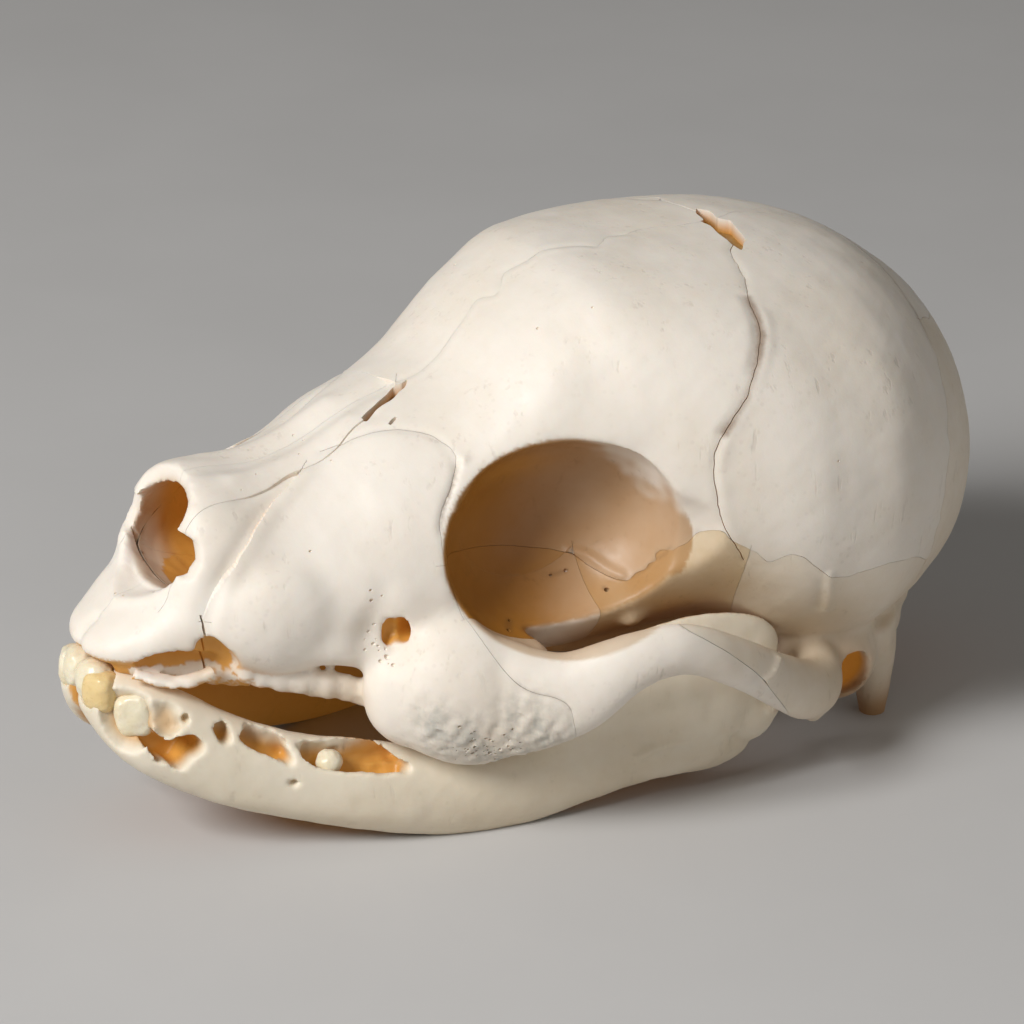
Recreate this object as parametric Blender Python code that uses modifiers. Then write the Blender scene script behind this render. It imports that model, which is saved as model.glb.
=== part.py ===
"""Skull of a very young puppy, built bone by bone at its real size.

The skull lies as it rests on a table: snout towards -Y, the animal's left
towards +X, +Z up, the floor at z = 0. The braincase and the face are lofted
from named sections, the arches and processes are swept or turned round them,
all of it is fused into one shell, hollowed, and then parted along the sutures.
"""

import math

import bmesh
import bpy
import numpy as np
from mathutils import Matrix, Vector

MM = 0.001

# Wall thickness, gaps and mesh fineness
VAULT_WALL = 1.3 * MM
VAULT_FLOOR = 2.4 * MM
ORBIT_WALL = 1.0 * MM
SUTURE_GAP = 0.3 * MM
VOXEL = 0.5 * MM
RING_STEP = 1.0 * MM
RING_POINTS = 40
CRANIUM_TRIANGLES = 4700
JAW_TRIANGLES = 1100
LEAST_FACES = 20
TRIM_REACH = 50 * MM

# Head sections along the length, in millimetres: the distance along Y, the
# height of the midline roof, the half width, the height where it is widest,
# the height of the underside, and how square the upper and lower halves are
HEAD_SECTIONS = (
    (-35.5, 16.1, 1.9, 15.7, 15.2, 2.0, 2.5),
    (-34.8, 16.8, 3.3, 15.9, 14.9, 2.4, 2.8),
    (-33.2, 17.9, 4.8, 16.2, 14.7, 2.6, 3.2),
    (-31.5, 19.2, 5.8, 16.6, 15.0, 2.7, 3.6),
    (-30.0, 21.2, 6.4, 17.0, 15.3, 2.4, 3.8),
    (-29.2, 25.1, 6.7, 17.1, 15.5, 2.5, 3.8),
    (-28.3, 26.7, 7.0, 17.2, 15.6, 2.7, 3.8),
    (-25.8, 27.7, 8.1, 17.0, 15.2, 2.35, 3.8),
    (-22.0, 27.5, 9.8, 16.6, 14.2, 2.0, 3.8),
    (-18.0, 28.3, 11.2, 16.8, 13.2, 2.1, 3.6),
    (-14.0, 30.2, 12.2, 17.8, 12.3, 2.2, 3.2),
    (-10.3, 31.4, 12.7, 19.5, 11.6, 2.2, 3.0),
    (-7.5, 32.6, 12.6, 21.5, 11.0, 2.35, 3.1),
    (-3.3, 36.1, 12.8, 23.5, 10.5, 2.5, 3.3),
    (-0.8, 37.8, 13.5, 24.5, 10.4, 2.65, 3.2),
    (3.1, 39.5, 15.4, 25.0, 10.3, 2.85, 2.6),
    (9.7, 39.8, 18.6, 24.5, 9.4, 2.65, 1.9),
    (15.8, 39.9, 20.3, 24.0, 8.0, 2.25, 2.3),
    (21.0, 39.3, 20.2, 23.5, 7.2, 2.15, 2.5),
    (26.0, 37.7, 18.0, 22.5, 7.0, 2.1, 2.2),
    (30.0, 35.2, 15.0, 21.8, 7.6, 2.0, 2.0),
    (33.5, 31.9, 11.2, 21.0, 9.2, 2.0, 2.0),
    (36.0, 27.0, 7.0, 20.0, 12.7, 2.0, 2.0),
    (37.2, 23.0, 3.0, 19.5, 16.2, 2.0, 2.0),
)

# Space inside the braincase
CAVITY_FRONT = 1.0 * MM
CAVITY_REAR = 35.6 * MM

# Passage of the nose, in millimetres: Y, roof, half width, middle, floor
NOSE_PASSAGE = (
    (-40.0, 25.2, 4.3, 22.3, 19.9),
    (-30.0, 25.0, 4.3, 22.2, 19.6),
    (-27.0, 25.5, 5.2, 21.5, 18.4),
    (-22.0, 26.3, 6.2, 21.0, 17.3),
    (-17.0, 27.2, 6.6, 21.5, 16.6),
    (-12.5, 29.0, 6.4, 23.0, 16.6),
    (-9.0, 30.0, 4.6, 24.5, 18.0),
    (-7.4, 30.0, 2.6, 25.5, 20.5),
)

# Eye socket on the left, in millimetres and degrees
ORBIT_CENTRE = (14.8, -3.2, 22.2)
ORBIT_RADII = (8.6, 8.9, 7.6)
ORBIT_TURN = (0, 0, -8)
ORBIT_REAR_CENTRE = (22.5, 1.0, 21.5)
ORBIT_REAR_RADII = (9.0, 8.5, 7.0)

# Swellings of the left side that grow out of the head: centre, radii and turn
SWELLINGS = {
    "tooth_swelling": ((7.2, -22.5, 18.0), (3.2, 6.0, 4.6), (0, 8, -12)),
    "cheek": ((13.0, -10.5, 12.2), (4.2, 6.6, 5.9), (-10, -12, -18)),
    "cheek_front": ((11.5, -14.0, 12.0), (2.8, 4.0, 4.4), (0, -8, -16)),
    "ear_capsule": ((10.8, 21.8, 7.2), (3.6, 3.7, 4.0), (0, 0, 0)),
    "pterygoid": ((4.6, 5.4, 10.6), (0.9, 3.6, 2.0), (-6, 0, 4)),
    "sphenoid_wing": ((6.0, 2.6, 11.4), (2.2, 6.4, 1.9), (0, 0, -18)),
}

# Processes of the left side at the rear: centre, radii and turn
PROCESSES = {
    "behind_joint": ((14.9, 17.6, 6.4), (2.4, 1.2, 2.5), (0, 0, -20)),
    "condyle": ((5.2, 28.8, 6.2), (2.2, 2.5, 3.1), (-25, 0, -20)),
    "condyle_root": ((5.4, 28.8, 8.8), (2.6, 3.2, 2.6), (0, 0, 0)),
}

# The left process beside the condyle, on which the skull stands: X, Y, Z and half widths
REAR_FOOT = ((10.6, 25.3, 9.5, 2.2, 2.6), (9.4, 26.6, 4.8, 1.7, 1.9), (8.4, 27.3, -0.9, 0.9, 1.0))

# Openings of the left side, and those on the midline: centre, radii and turn
SIDE_OPENINGS = {
    "infraorbital": ((11.6, -15.2, 17.2), (3.2, 0.7, 1.3), (0, 0, -50)),
    "canine_socket": ((7.6, -28.2, 14.4), (1.5, 1.5, 2.6), (0, 0, 0)),
    "ear_opening": ((14.0, 22.0, 6.4), (3.2, 1.6, 1.9), (0, 0, 10)),
}
MIDDLE_OPENINGS = {
    "fontanelle": ((2.1, 16.5, 39.5), (3.0, 1.0, 3.0), (0, 0, 16)),
    "foramen_magnum": ((0, 34.0, 9.0), (4.8, 6.0, 4.6), (20, 0, 0)),
    "nose_notch": ((0, -31.0, 27.5), (6.0, 4.1, 4.6), (0, 0, 0)),
    "palate_vault": ((0, -18.0, 11.6), (6.0, 15.0, 3.6), (0, 0, 0)),
    "choana": ((0, 1.0, 9.0), (3.4, 9.0, 2.6), (0, 0, 0)),
}

# Left cheek arch from the cheek to the ear: X, Y, Z, half thickness, half height
ARCH = (
    (12.5, -13.5, 13.2, 2.2, 4.5),
    (15.2, -9.5, 12.0, 2.2, 4.6),
    (18.0, -5.2, 12.4, 1.8, 3.3),
    (19.9, -0.8, 14.8, 1.5, 2.2),
    (20.6, 3.4, 15.2, 1.3, 1.9),
    (20.3, 8.0, 12.9, 1.3, 1.9),
    (18.9, 12.0, 10.2, 1.4, 2.1),
    (17.0, 15.6, 7.8, 1.8, 2.3),
    (14.6, 18.0, 7.2, 2.2, 2.4),
    (11.5, 18.6, 8.8, 2.2, 2.2),
)
ARCH_LEAN = -12

# Left lower jaw from the chin to the ramus: X, Y, Z, half thickness, half height
JAW_BODY = (
    (0.2, -34.3, 12.0, 1.7, 1.9),
    (2.2, -33.8, 11.6, 2.1, 2.7),
    (4.3, -31.5, 9.9, 2.7, 3.4),
    (6.2, -27.5, 7.5, 2.5, 3.4),
    (7.9, -22.5, 5.6, 2.4, 3.3),
    (9.7, -17.0, 4.3, 2.4, 3.5),
    (11.2, -11.5, 3.0, 2.2, 3.3),
    (12.3, -6.0, 3.0, 1.9, 3.3),
    (13.3, -1.0, 4.6, 1.5, 3.8),
    (14.0, 4.0, 5.2, 1.2, 3.6),
)
JAW_RAMUS = (
    (12.8, -4.5, 5.0, 1.0, 3.0),
    (13.5, -1.0, 6.2, 1.1, 4.6),
    (14.3, 3.0, 7.8, 1.1, 6.2),
    (14.9, 8.0, 8.6, 1.1, 6.4),
    (14.9, 11.0, 8.8, 1.1, 5.4),
    (14.8, 13.0, 7.9, 1.0, 3.8),
)

# Rear end of the left lower jaw: centre and radii
JAW_ENDS = {
    "jaw_angle": ((14.2, 8.6, 3.2), (1.0, 4.2, 1.7)),
    "jaw_neck": ((14.8, 12.3, 5.6), (1.1, 2.2, 2.2)),
    "jaw_condyle": ((14.0, 13.7, 6.0), (2.1, 1.2, 1.2)),
}

# Open crypts and unerupted crowns of the left lower jaw: centre and radii
JAW_CRYPTS = (
    ((5.2, -31.2, 13.0), (1.9, 2.6, 4.0)),
    ((7.0, -26.4, 10.8), (1.5, 1.7, 3.0)),
    ((8.4, -22.6, 9.0), (1.5, 1.8, 3.0)),
    ((9.8, -18.2, 7.6), (1.5, 2.1, 2.8)),
    ((11.0, -13.6, 6.4), (1.3, 2.0, 2.4)),
)
JAW_CROWNS = (
    ((1.0, -35.4, 12.4), (0.9, 1.0, 0.9)),
    ((2.5, -34.5, 13.3), (1.4, 1.1, 1.6)),
    ((4.6, -32.9, 11.8), (1.4, 1.3, 2.4)),
    ((6.0, -30.2, 10.8), (0.9, 0.9, 2.4)),
    ((8.5, -23.2, 7.4), (0.9, 1.1, 1.8)),
    ((10.0, -19.0, 6.5), (0.9, 1.1, 1.8)),
)

# Where a suture's cut points: to the middle of the braincase, to the axis of
# the nose, straight across, or straight down
VAULT_CORE = Vector((0.0, 14.0, 24.0)) * MM
NOSE_AXIS_HEIGHT = 23.0 * MM

# Sutures that run over both sides: aim, rise, depth and points, in millimetres
ROUND_SUTURES = {
    "coronal": ("vault", 3, 7, (
        (-17.5, 8.9, 21.4), (-17.4, 8.3, 23.2), (-17.6, 7.9, 26.5), (-17.6, 9.0, 31.0), (-15.6, 11.4, 34.6),
        (-12.0, 13.9, 37.6), (-7.0, 15.6, 39.0), (0.0, 16.2, 39.8), (4.7, 16.6, 39.4), (8.7, 14.8, 38.6),
        (12.0, 13.9, 37.6), (15.6, 11.4, 34.6), (17.6, 9.0, 31.0), (17.6, 7.9, 26.5), (17.4, 8.3, 23.2),
        (17.5, 8.9, 21.4))),
    "lambdoid": ("vault", 4, 7, (
        (-15.4, 25.8, 15.2), (-16.0, 26.5, 19.5), (-15.6, 27.4, 24.0), (-13.2, 28.6, 29.0), (-9.5, 29.2, 33.0),
        (-5.0, 28.6, 35.6), (0.0, 27.6, 36.9), (5.0, 28.6, 35.6), (9.5, 29.2, 33.0), (13.2, 28.6, 29.0),
        (15.6, 27.4, 24.0), (16.0, 26.5, 19.5), (15.4, 25.8, 15.2))),
    "interparietal": ("vault", 3, 7, (
        (-10.2, 28.8, 32.6), (-7.6, 31.0, 31.6), (-4.0, 33.0, 30.6), (0.0, 33.8, 30.2), (4.0, 33.0, 30.6),
        (7.6, 31.0, 31.6), (10.2, 28.8, 32.6))),
    "basal": ("vault", 3, 8, ((-8.2, 16.3, 8.6), (0.0, 16.3, 8.0), (8.2, 16.3, 8.6))),
    "palatine_rear": ("across", 0, 27.2, ((13.6, 0.6, 7.0), (13.6, 0.6, 13.0), (13.6, 0.8, 19.4))),
    "palatine_front": ("across", 0, 16.4, ((8.2, -9.2, 7.0), (8.2, -9.2, 14.0), (8.2, -9.6, 18.0), (8.2, -10.9, 21.4))),
    "premaxilla_floor": ("across", 0, 16, ((8.0, -28.7, 19.2), (8.0, -28.3, 17.0), (8.0, -27.4, 12.0))),
    "premaxilla_shelf": ("across", 0, 9.8, ((4.9, -29.0, 22.4), (4.9, -28.7, 20.0), (4.9, -28.5, 18.0))),
}

# Sutures of the left side, which the right side mirrors
SIDE_SUTURES = {
    "squamosal": ("across", 5, 17.5, (
        (15.5, 26.6, 15.6), (16.8, 23.2, 16.6), (18.3, 19.5, 17.1), (19.0, 16.5, 17.9), (19.0, 13.3, 19.2),
        (18.2, 10.6, 20.6), (17.2, 8.4, 22.3), (14.5, 6.0, 21.2), (11.5, 3.5, 19.6), (10.5, 0.5, 19.2),
        (11.5, -5.0, 19.8), (12.0, -12.3, 20.8))),
    "temporal": ("vault", 4, 10, (
        (15.6, 26.3, 16.4), (14.2, 24.9, 12.0), (12.5, 23.9, 8.0), (10.0, 23.4, 5.4), (7.0, 21.8, 6.4),
        (6.3, 19.0, 7.4), (7.2, 16.3, 8.4), (9.5, 14.0, 9.6), (12.0, 12.0, 12.5), (14.5, 10.6, 16.5),
        (17.4, 10.2, 21.2))),
    "frontomaxillary": ("nose", 3, 8, (
        (3.8, -15.9, 29.2), (5.6, -13.3, 29.9), (7.2, -11.0, 29.8), (8.6, -9.6, 28.6), (9.3, -9.5, 27.3),
        (11.0, -10.9, 25.5), (11.8, -12.0, 23.5), (11.2, -11.6, 20.8), (10.6, -11.0, 18.8))),
    "premaxilla": ("nose", 3, 5, (
        (4.2, -19.4, 27.9), (5.6, -22.2, 26.6), (6.7, -24.4, 25.0), (7.2, -26.4, 23.0), (7.6, -27.6, 21.0),
        (7.8, -28.4, 19.0), (7.8, -28.6, 17.4), (7.6, -28.2, 15.6))),
    "zygomatic": ("across", 10, 0, (
        (13.4, -12.8, 22.8), (13.4, -11.4, 18.2), (13.4, -10.2, 15.5), (13.4, -8.9, 13.6), (13.4, -6.6, 12.4),
        (13.4, -5.0, 11.0), (13.4, -4.0, 7.6))),
    "arch_joint": ("across", 8, 2, ((18.0, 0.4, 18.6), (18.0, 3.8, 15.8), (18.0, 8.3, 12.5), (18.0, 13.0, 7.2))),
}

# Sutures of the nasal bones, which differ a little between the sides
NASAL_SUTURES = {
    "nasal_left": ("down", 12, 8, (
        (4.5, -31.0, 24.0), (4.5, -26.0, 26.0), (4.4, -20.0, 27.0), (3.9, -16.6, 28.0), (2.9, -14.0, 30.0),
        (1.6, -11.0, 31.0), (-0.3, -8.7, 32.0))),
    "nasal_right": ("down", 12, 8, (
        (-4.5, -31.0, 24.0), (-4.5, -26.0, 26.0), (-4.6, -20.0, 27.0), (-4.9, -15.5, 28.0), (-4.8, -12.8, 30.0),
        (-3.6, -11.0, 31.0), (-1.6, -10.2, 31.0), (0.6, -9.6, 32.0))),
}

# Cuts in the plane between left and right: outlines of Y and Z, in millimetres
MIDLINE_PLATES = {
    "roof": ((-34, 23), (-34, 46), (27.9, 46), (27.9, 31), (3, 31), (3, 19.2), (-8.2, 19.2), (-8.2, 24), (-10, 24), (-10, 23)),
    "floor": ((-42, 9), (-42, 22), (-10.6, 22), (-9.4, 17.5), (-9.0, 14), (-9.0, 9)),
}
# Cuts along the length on the left: distance from the midline, then outline
SIDE_PLATES = {
    "palatine_side": (8.0, ((-9.5, 7), (-9.5, 14), (-9.9, 18), (-11.0, 20.9), (0.9, 19.6), (0.9, 7))),
    "zygomatic_side": (13.4, (
        (-12.8, 22.8), (-11.4, 18.2), (-10.2, 15.5), (-8.9, 13.6), (-6.6, 12.4), (-5.0, 11.0), (-4.0, 7.6),
        (-1.5, 8), (-1.5, 22.8))),
}

# Bone finishes: colour in linear light, and roughness
VAULT_BONE = ((0.86, 0.79, 0.70), 0.55)
FACE_BONE = ((0.88, 0.80, 0.72), 0.5)
INNER_BONE = ((0.62, 0.42, 0.22), 0.5)
BASE_BONE = ((0.70, 0.58, 0.43), 0.6)
JAW_BONE = ((0.74, 0.64, 0.48), 0.5)

# A point on each bone that tells it from the others, in millimetres
BONE_SEEDS = {
    "nasal_left": (2.2, -20.0, 27.4),
    "nasal_right": (-2.2, -20.0, 27.4),
    "premaxilla_left": (3.0, -33.0, 16.5),
    "premaxilla_right": (-3.0, -33.0, 16.5),
    "maxilla_left": (10.5, -18.5, 18.0),
    "maxilla_right": (-10.5, -18.5, 18.0),
    "zygomatic_left": (19.9, -1.0, 15.0),
    "zygomatic_right": (-19.9, -1.0, 15.0),
    "frontal_left": (9.0, 3.0, 38.0),
    "frontal_right": (-9.0, 3.0, 38.0),
    "parietal_left": (15.0, 20.0, 35.0),
    "parietal_right": (-15.0, 20.0, 35.0),
    "interparietal": (0.0, 31.5, 34.0),
    "occipital": (0.0, 36.5, 22.0),
    "temporal_left": (17.0, 17.0, 14.5),
    "temporal_right": (-17.0, 17.0, 14.5),
    "sphenoid": (0.0, 8.0, 10.0),
    "palatine": (0.0, -4.0, 11.0),
}
FINISH_OF = {
    "nasal": FACE_BONE,
    "premaxilla": FACE_BONE,
    "maxilla": FACE_BONE,
    "zygomatic": FACE_BONE,
    "frontal": VAULT_BONE,
    "parietal": VAULT_BONE,
    "interparietal": VAULT_BONE,
    "occipital": BASE_BONE,
    "temporal": BASE_BONE,
    "sphenoid": INNER_BONE,
    "palatine": INNER_BONE,
    "mandible": JAW_BONE,
}


def purge_scene():
    for thing in list(bpy.data.objects):
        bpy.data.objects.remove(thing, do_unlink=True)


def object_from_bmesh(name, shape, collection, turn_out=True):
    if turn_out:
        bmesh.ops.recalc_face_normals(shape, faces=shape.faces)
    mesh_data = bpy.data.meshes.new(name)
    shape.to_mesh(mesh_data)
    shape.free()
    thing = bpy.data.objects.new(name, mesh_data)
    collection.objects.link(thing)
    return thing


def smooth_table(rows, step):
    """Rows of numbers led by a rising position, filled in every step by a monotone cubic."""
    table = np.array(rows, float)
    places = table[:, 0]
    count = int(round((places[-1] - places[0]) / step)) + 1
    wanted = np.linspace(places[0], places[-1], count)
    gaps = np.diff(places)
    index = np.clip(np.searchsorted(places, wanted, side="right") - 1, 0, len(gaps) - 1)
    t = (wanted - places[index]) / gaps[index]
    columns = [wanted]
    for values in table.T[1:]:
        slopes = np.diff(values) / gaps
        tangents = np.concatenate([[slopes[0]], (slopes[:-1] + slopes[1:]) / 2, [slopes[-1]]])
        tangents[1:-1][slopes[:-1] * slopes[1:] <= 0] = 0
        for i, slope in enumerate(slopes):
            limit = 3 * abs(slope)
            tangents[i] = np.clip(tangents[i], -limit, limit)
            tangents[i + 1] = np.clip(tangents[i + 1], -limit, limit)
        rise_low = tangents[index] * gaps[index]
        rise_high = tangents[index + 1] * gaps[index]
        columns.append(
            (2 * t**3 - 3 * t**2 + 1) * values[index]
            + (t**3 - 2 * t**2 + t) * rise_low
            + (3 * t**2 - 2 * t**3) * values[index + 1]
            + (t**3 - t**2) * rise_high
        )
    return np.array(columns).T


def smooth_path(points, samples):
    """Rows of numbers along a Catmull-Rom curve through the given rows."""
    rows = np.array(points, float)
    padded = np.vstack([2 * rows[0] - rows[1], rows, 2 * rows[-1] - rows[-2]])
    out = []
    for i in range(len(rows) - 1):
        a, b, c, d = padded[i : i + 4]
        for t in np.linspace(0, 1, samples, endpoint=False):
            bend = (2 * a - 5 * b + 4 * c - d) * t**2 + (3 * b - a - 3 * c + d) * t**3
            out.append(0.5 * (2 * b + (c - a) * t + bend))
    out.append(rows[-1])
    return np.array(out)


def signed_power(value, power):
    return math.copysign(abs(value) ** power, value)


def section_ring(y, roof, half, middle, floor, upper, lower):
    """Points of one cross-section: two half superellipses that share their widest level."""
    ring = []
    for i in range(RING_POINTS):
        angle = 2 * math.pi * i / RING_POINTS
        rising = math.sin(angle) >= 0
        power = 2 / (upper if rising else lower)
        reach = roof - middle if rising else middle - floor
        across = half * signed_power(math.cos(angle), power)
        ring.append((across, y, middle + reach * signed_power(math.sin(angle), power)))
    return ring


def loft(name, rings, collection):
    """A closed skin over rings that all have the same number of points."""
    shape = bmesh.new()
    levels = [[shape.verts.new(point) for point in ring] for ring in rings]
    count = len(levels[0])
    for lower, upper in zip(levels, levels[1:]):
        for i in range(count):
            j = (i + 1) % count
            shape.faces.new((lower[i], lower[j], upper[j], upper[i]))
    shape.faces.new(levels[0][::-1])
    shape.faces.new(levels[-1])
    return object_from_bmesh(name, shape, collection)


def ellipsoid(name, centre, radii, collection, turn=(0, 0, 0), fineness=3):
    """An ellipsoid with its centre and radii in millimetres, turned by degrees about X, Y and Z."""
    shape = bmesh.new()
    bmesh.ops.create_icosphere(shape, subdivisions=fineness, radius=1)
    spin = Matrix.Rotation(math.radians(turn[2]), 4, "Z") @ Matrix.Rotation(math.radians(turn[1]), 4, "Y")
    spin = spin @ Matrix.Rotation(math.radians(turn[0]), 4, "X")
    place = Matrix.Translation(Vector(centre) * MM) @ spin @ Matrix.Diagonal((*(Vector(radii) * MM), 1))
    bmesh.ops.transform(shape, matrix=place, verts=shape.verts)
    return object_from_bmesh(name, shape, collection)


def ellipsoids(shapes, collection):
    return [ellipsoid(name, centre, radii, collection, turn) for name, (centre, radii, turn) in shapes.items()]


def slab(name, low, high, collection):
    """A box between two corners in metres."""
    shape = bmesh.new()
    bmesh.ops.create_cube(shape, size=1)
    low, high = Vector(low), Vector(high)
    place = Matrix.Translation((low + high) / 2) @ Matrix.Diagonal((*(high - low), 1))
    bmesh.ops.transform(shape, matrix=place, verts=shape.verts)
    return object_from_bmesh(name, shape, collection)


def below_floor(collection):
    """All that would hang under the floor, which trims each foot to a small flat."""
    return slab("below_floor", (-TRIM_REACH, -TRIM_REACH, -TRIM_REACH), (TRIM_REACH, TRIM_REACH, 0), collection)


def bar(name, stops, collection, lean=0.0, samples=5, sides=16):
    """A bar of changing oval section through stops of x, y, z, half thickness and half height, in millimetres.

    Its height leans by so many degrees from upright, outwards at its top.
    """
    rows = smooth_path(stops, samples)
    ways = np.gradient(rows[:, :3], axis=0)
    upright = Vector((math.sin(math.radians(lean)), 0, math.cos(math.radians(lean))))
    rings = []
    for row, way in zip(rows, ways):
        forward = Vector(way).normalized()
        side = forward.cross(upright).normalized()
        up = side.cross(forward).normalized()
        centre, across, height = Vector(row[:3]), row[3], row[4]
        ring = []
        for i in range(sides):
            angle = 2 * math.pi * i / sides
            ring.append((centre + side * across * math.cos(angle) + up * height * math.sin(angle)) * MM)
        rings.append(ring)
    return loft(name, rings, collection)


def outward(point, aim):
    """The direction in which a suture's cut leaves the bone at a point."""
    if aim == "vault":
        return (point - VAULT_CORE).normalized()
    if aim == "nose":
        return (point - Vector((0, point.y, NOSE_AXIS_HEIGHT))).normalized()
    return Vector((1, 0, 0)) if aim == "across" else Vector((0, 0, 1))


def blade(name, suture, collection, width=SUTURE_GAP, samples=2):
    """A thin sheet that stands on a suture's line and parts the bone along it."""
    aim, rise, depth, points = suture
    line = [Vector(row) * MM for row in smooth_path(points, samples)]
    shape = bmesh.new()
    edges = []
    for point in line:
        out = outward(point, aim)
        edges.append((shape.verts.new(point + out * rise * MM), shape.verts.new(point - out * depth * MM)))
    for (top, foot), (next_top, next_foot) in zip(edges, edges[1:]):
        shape.faces.new((top, foot, next_foot))
        shape.faces.new((top, next_foot, next_top))
    sheet = object_from_bmesh(name, shape, collection)
    body = sheet.modifiers.new("width", "SOLIDIFY")
    body.thickness = width
    body.offset = 0
    body.use_even_offset = True
    return settled(sheet)


def plate(name, middle, outline, collection, width=SUTURE_GAP):
    """A thin upright plate of a given outline of Y and Z, at a distance from the midline."""
    shape = bmesh.new()
    left = [shape.verts.new(Vector((middle, y, z)) * MM - Vector((width / 2, 0, 0))) for y, z in outline]
    face = shape.faces.new(left)
    grown = bmesh.ops.extrude_face_region(shape, geom=[face])
    moved = [item for item in grown["geom"] if isinstance(item, bmesh.types.BMVert)]
    bmesh.ops.translate(shape, vec=(width, 0, 0), verts=moved)
    return object_from_bmesh(name, shape, collection)


def mirrored(thing, name, collection):
    """A copy of a left piece on the right."""
    shape = bmesh.new()
    shape.from_mesh(thing.data)
    bmesh.ops.transform(shape, matrix=Matrix.Diagonal((-1, 1, 1, 1)), verts=shape.verts)
    return object_from_bmesh(name, shape, collection)


def both_sides(pieces, collection):
    return pieces + [mirrored(piece, piece.name + "_right", collection) for piece in pieces]


def settled(thing):
    """Makes the object's mesh what its modifiers give, and drops the modifiers."""
    graph = bpy.context.evaluated_depsgraph_get()
    made = bpy.data.meshes.new_from_object(thing.evaluated_get(graph))
    thing.modifiers.clear()
    thing.data = made
    return thing


def fused(name, pieces, collection, voxel, rounds):
    """One skin round overlapping closed pieces, its creases softened."""
    shape = bmesh.new()
    for piece in pieces:
        shape.from_mesh(piece.data)
    thing = object_from_bmesh(name, shape, collection)
    for piece in pieces:
        bpy.data.objects.remove(piece, do_unlink=True)
    remesh = thing.modifiers.new("skin", "REMESH")
    remesh.mode = "VOXEL"
    remesh.voxel_size = voxel
    soften = thing.modifiers.new("soften", "SMOOTH")
    soften.factor = 0.5
    soften.iterations = rounds
    return settled(thing)


def cut(thing, cutter):
    """Takes a closed cutter away from the object."""
    bite = thing.modifiers.new("cut", "BOOLEAN")
    bite.operation = "DIFFERENCE"
    bite.solver = "MANIFOLD"
    bite.object = cutter
    settled(thing)
    bpy.data.objects.remove(cutter, do_unlink=True)
    return thing


def thinned(thing, triangles):
    """Brings a fine skin down to a count of triangles."""
    faces = sum(len(face.vertices) - 2 for face in thing.data.polygons)
    fewer = thing.modifiers.new("thin", "DECIMATE")
    fewer.ratio = min(1.0, triangles / faces)
    fewer.use_collapse_triangulate = True
    return settled(thing)


def head_rows():
    return smooth_table(np.array(HEAD_SECTIONS) * ([MM] * 5 + [1, 1]), RING_STEP)


def head_loft(work):
    return loft("head", [section_ring(*row) for row in head_rows()], work)


def orbit(work, grow=0.0):
    """The hollow of the left eye, and the shallower one that runs on from it to the temple."""
    radii = [radius + grow / MM for radius in ORBIT_RADII]
    rear_radii = [radius + grow / MM for radius in ORBIT_REAR_RADII]
    return [
        ellipsoid("orbit", ORBIT_CENTRE, radii, work, ORBIT_TURN, 4),
        ellipsoid("orbit_rear", ORBIT_REAR_CENTRE, rear_radii, work, fineness=4),
    ]


def vault_space(work):
    """The space for the brain, kept clear of the eye sockets."""
    rings = []
    for y, roof, half, middle, floor, upper, lower in head_rows():
        if CAVITY_FRONT <= y <= CAVITY_REAR:
            rings.append(
                section_ring(y, roof - VAULT_WALL, half - VAULT_WALL, middle, floor + VAULT_FLOOR, upper, lower)
            )
    space = loft("vault_space", rings, work)
    for socket in both_sides(orbit(work, ORBIT_WALL), work):
        cut(space, socket)
    return space


def nose_passage(work):
    rows = smooth_table(np.array(NOSE_PASSAGE) * MM, RING_STEP)
    return loft("nose_passage", [section_ring(*row, 2.2, 2.4) for row in rows], work)


def skull_core(work):
    """Braincase and face in one, with the eye sockets sunk in."""
    left = ellipsoids(SWELLINGS, work)
    core = fused("core", [head_loft(work)] + both_sides(left, work), work, VOXEL, 6)
    for hollow in both_sides(orbit(work), work):
        cut(core, hollow)
    return core


def outworks(work):
    """Arches, joint edges and the processes at the rear, left and right."""
    left = [bar("arch", ARCH, work, lean=ARCH_LEAN), bar("rear_foot", REAR_FOOT, work)]
    return both_sides(left + ellipsoids(PROCESSES, work), work)


def openings(work):
    """Spaces and holes that go through the wall of the skull."""
    left = ellipsoids(SIDE_OPENINGS, work)
    middle = ellipsoids(MIDDLE_OPENINGS, work)
    return both_sides(left, work) + middle + [nose_passage(work), vault_space(work)]


def build_cranium(work):
    skull = fused("skull", [skull_core(work)] + outworks(work), work, VOXEL, 3)
    for hollow in openings(work):
        cut(skull, hollow)
    skull = thinned(fused("cranium", [skull], work, VOXEL, 3), CRANIUM_TRIANGLES)
    return cut(skull, below_floor(work))


def suture_cuts(work):
    """Every thin cut between the bones of the cranium."""
    cuts = [blade(name, suture, work) for name, suture in {**ROUND_SUTURES, **NASAL_SUTURES}.items()]
    side = [blade(name, suture, work) for name, suture in SIDE_SUTURES.items()]
    side += [plate(name, middle, outline, work) for name, (middle, outline) in SIDE_PLATES.items()]
    cuts += [plate(name, 0.0, outline, work) for name, outline in MIDLINE_PLATES.items()]
    return cuts + both_sides(side, work)


def islands(shape):
    """The separate closed surfaces of a bmesh, each a set of faces."""
    left = set(shape.faces)
    found = []
    while left:
        group = {left.pop()}
        edge_of_group = list(group)
        while edge_of_group:
            face = edge_of_group.pop()
            for edge in face.edges:
                for other in edge.link_faces:
                    if other in left:
                        left.remove(other)
                        group.add(other)
                        edge_of_group.append(other)
        found.append(group)
    return found


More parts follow.
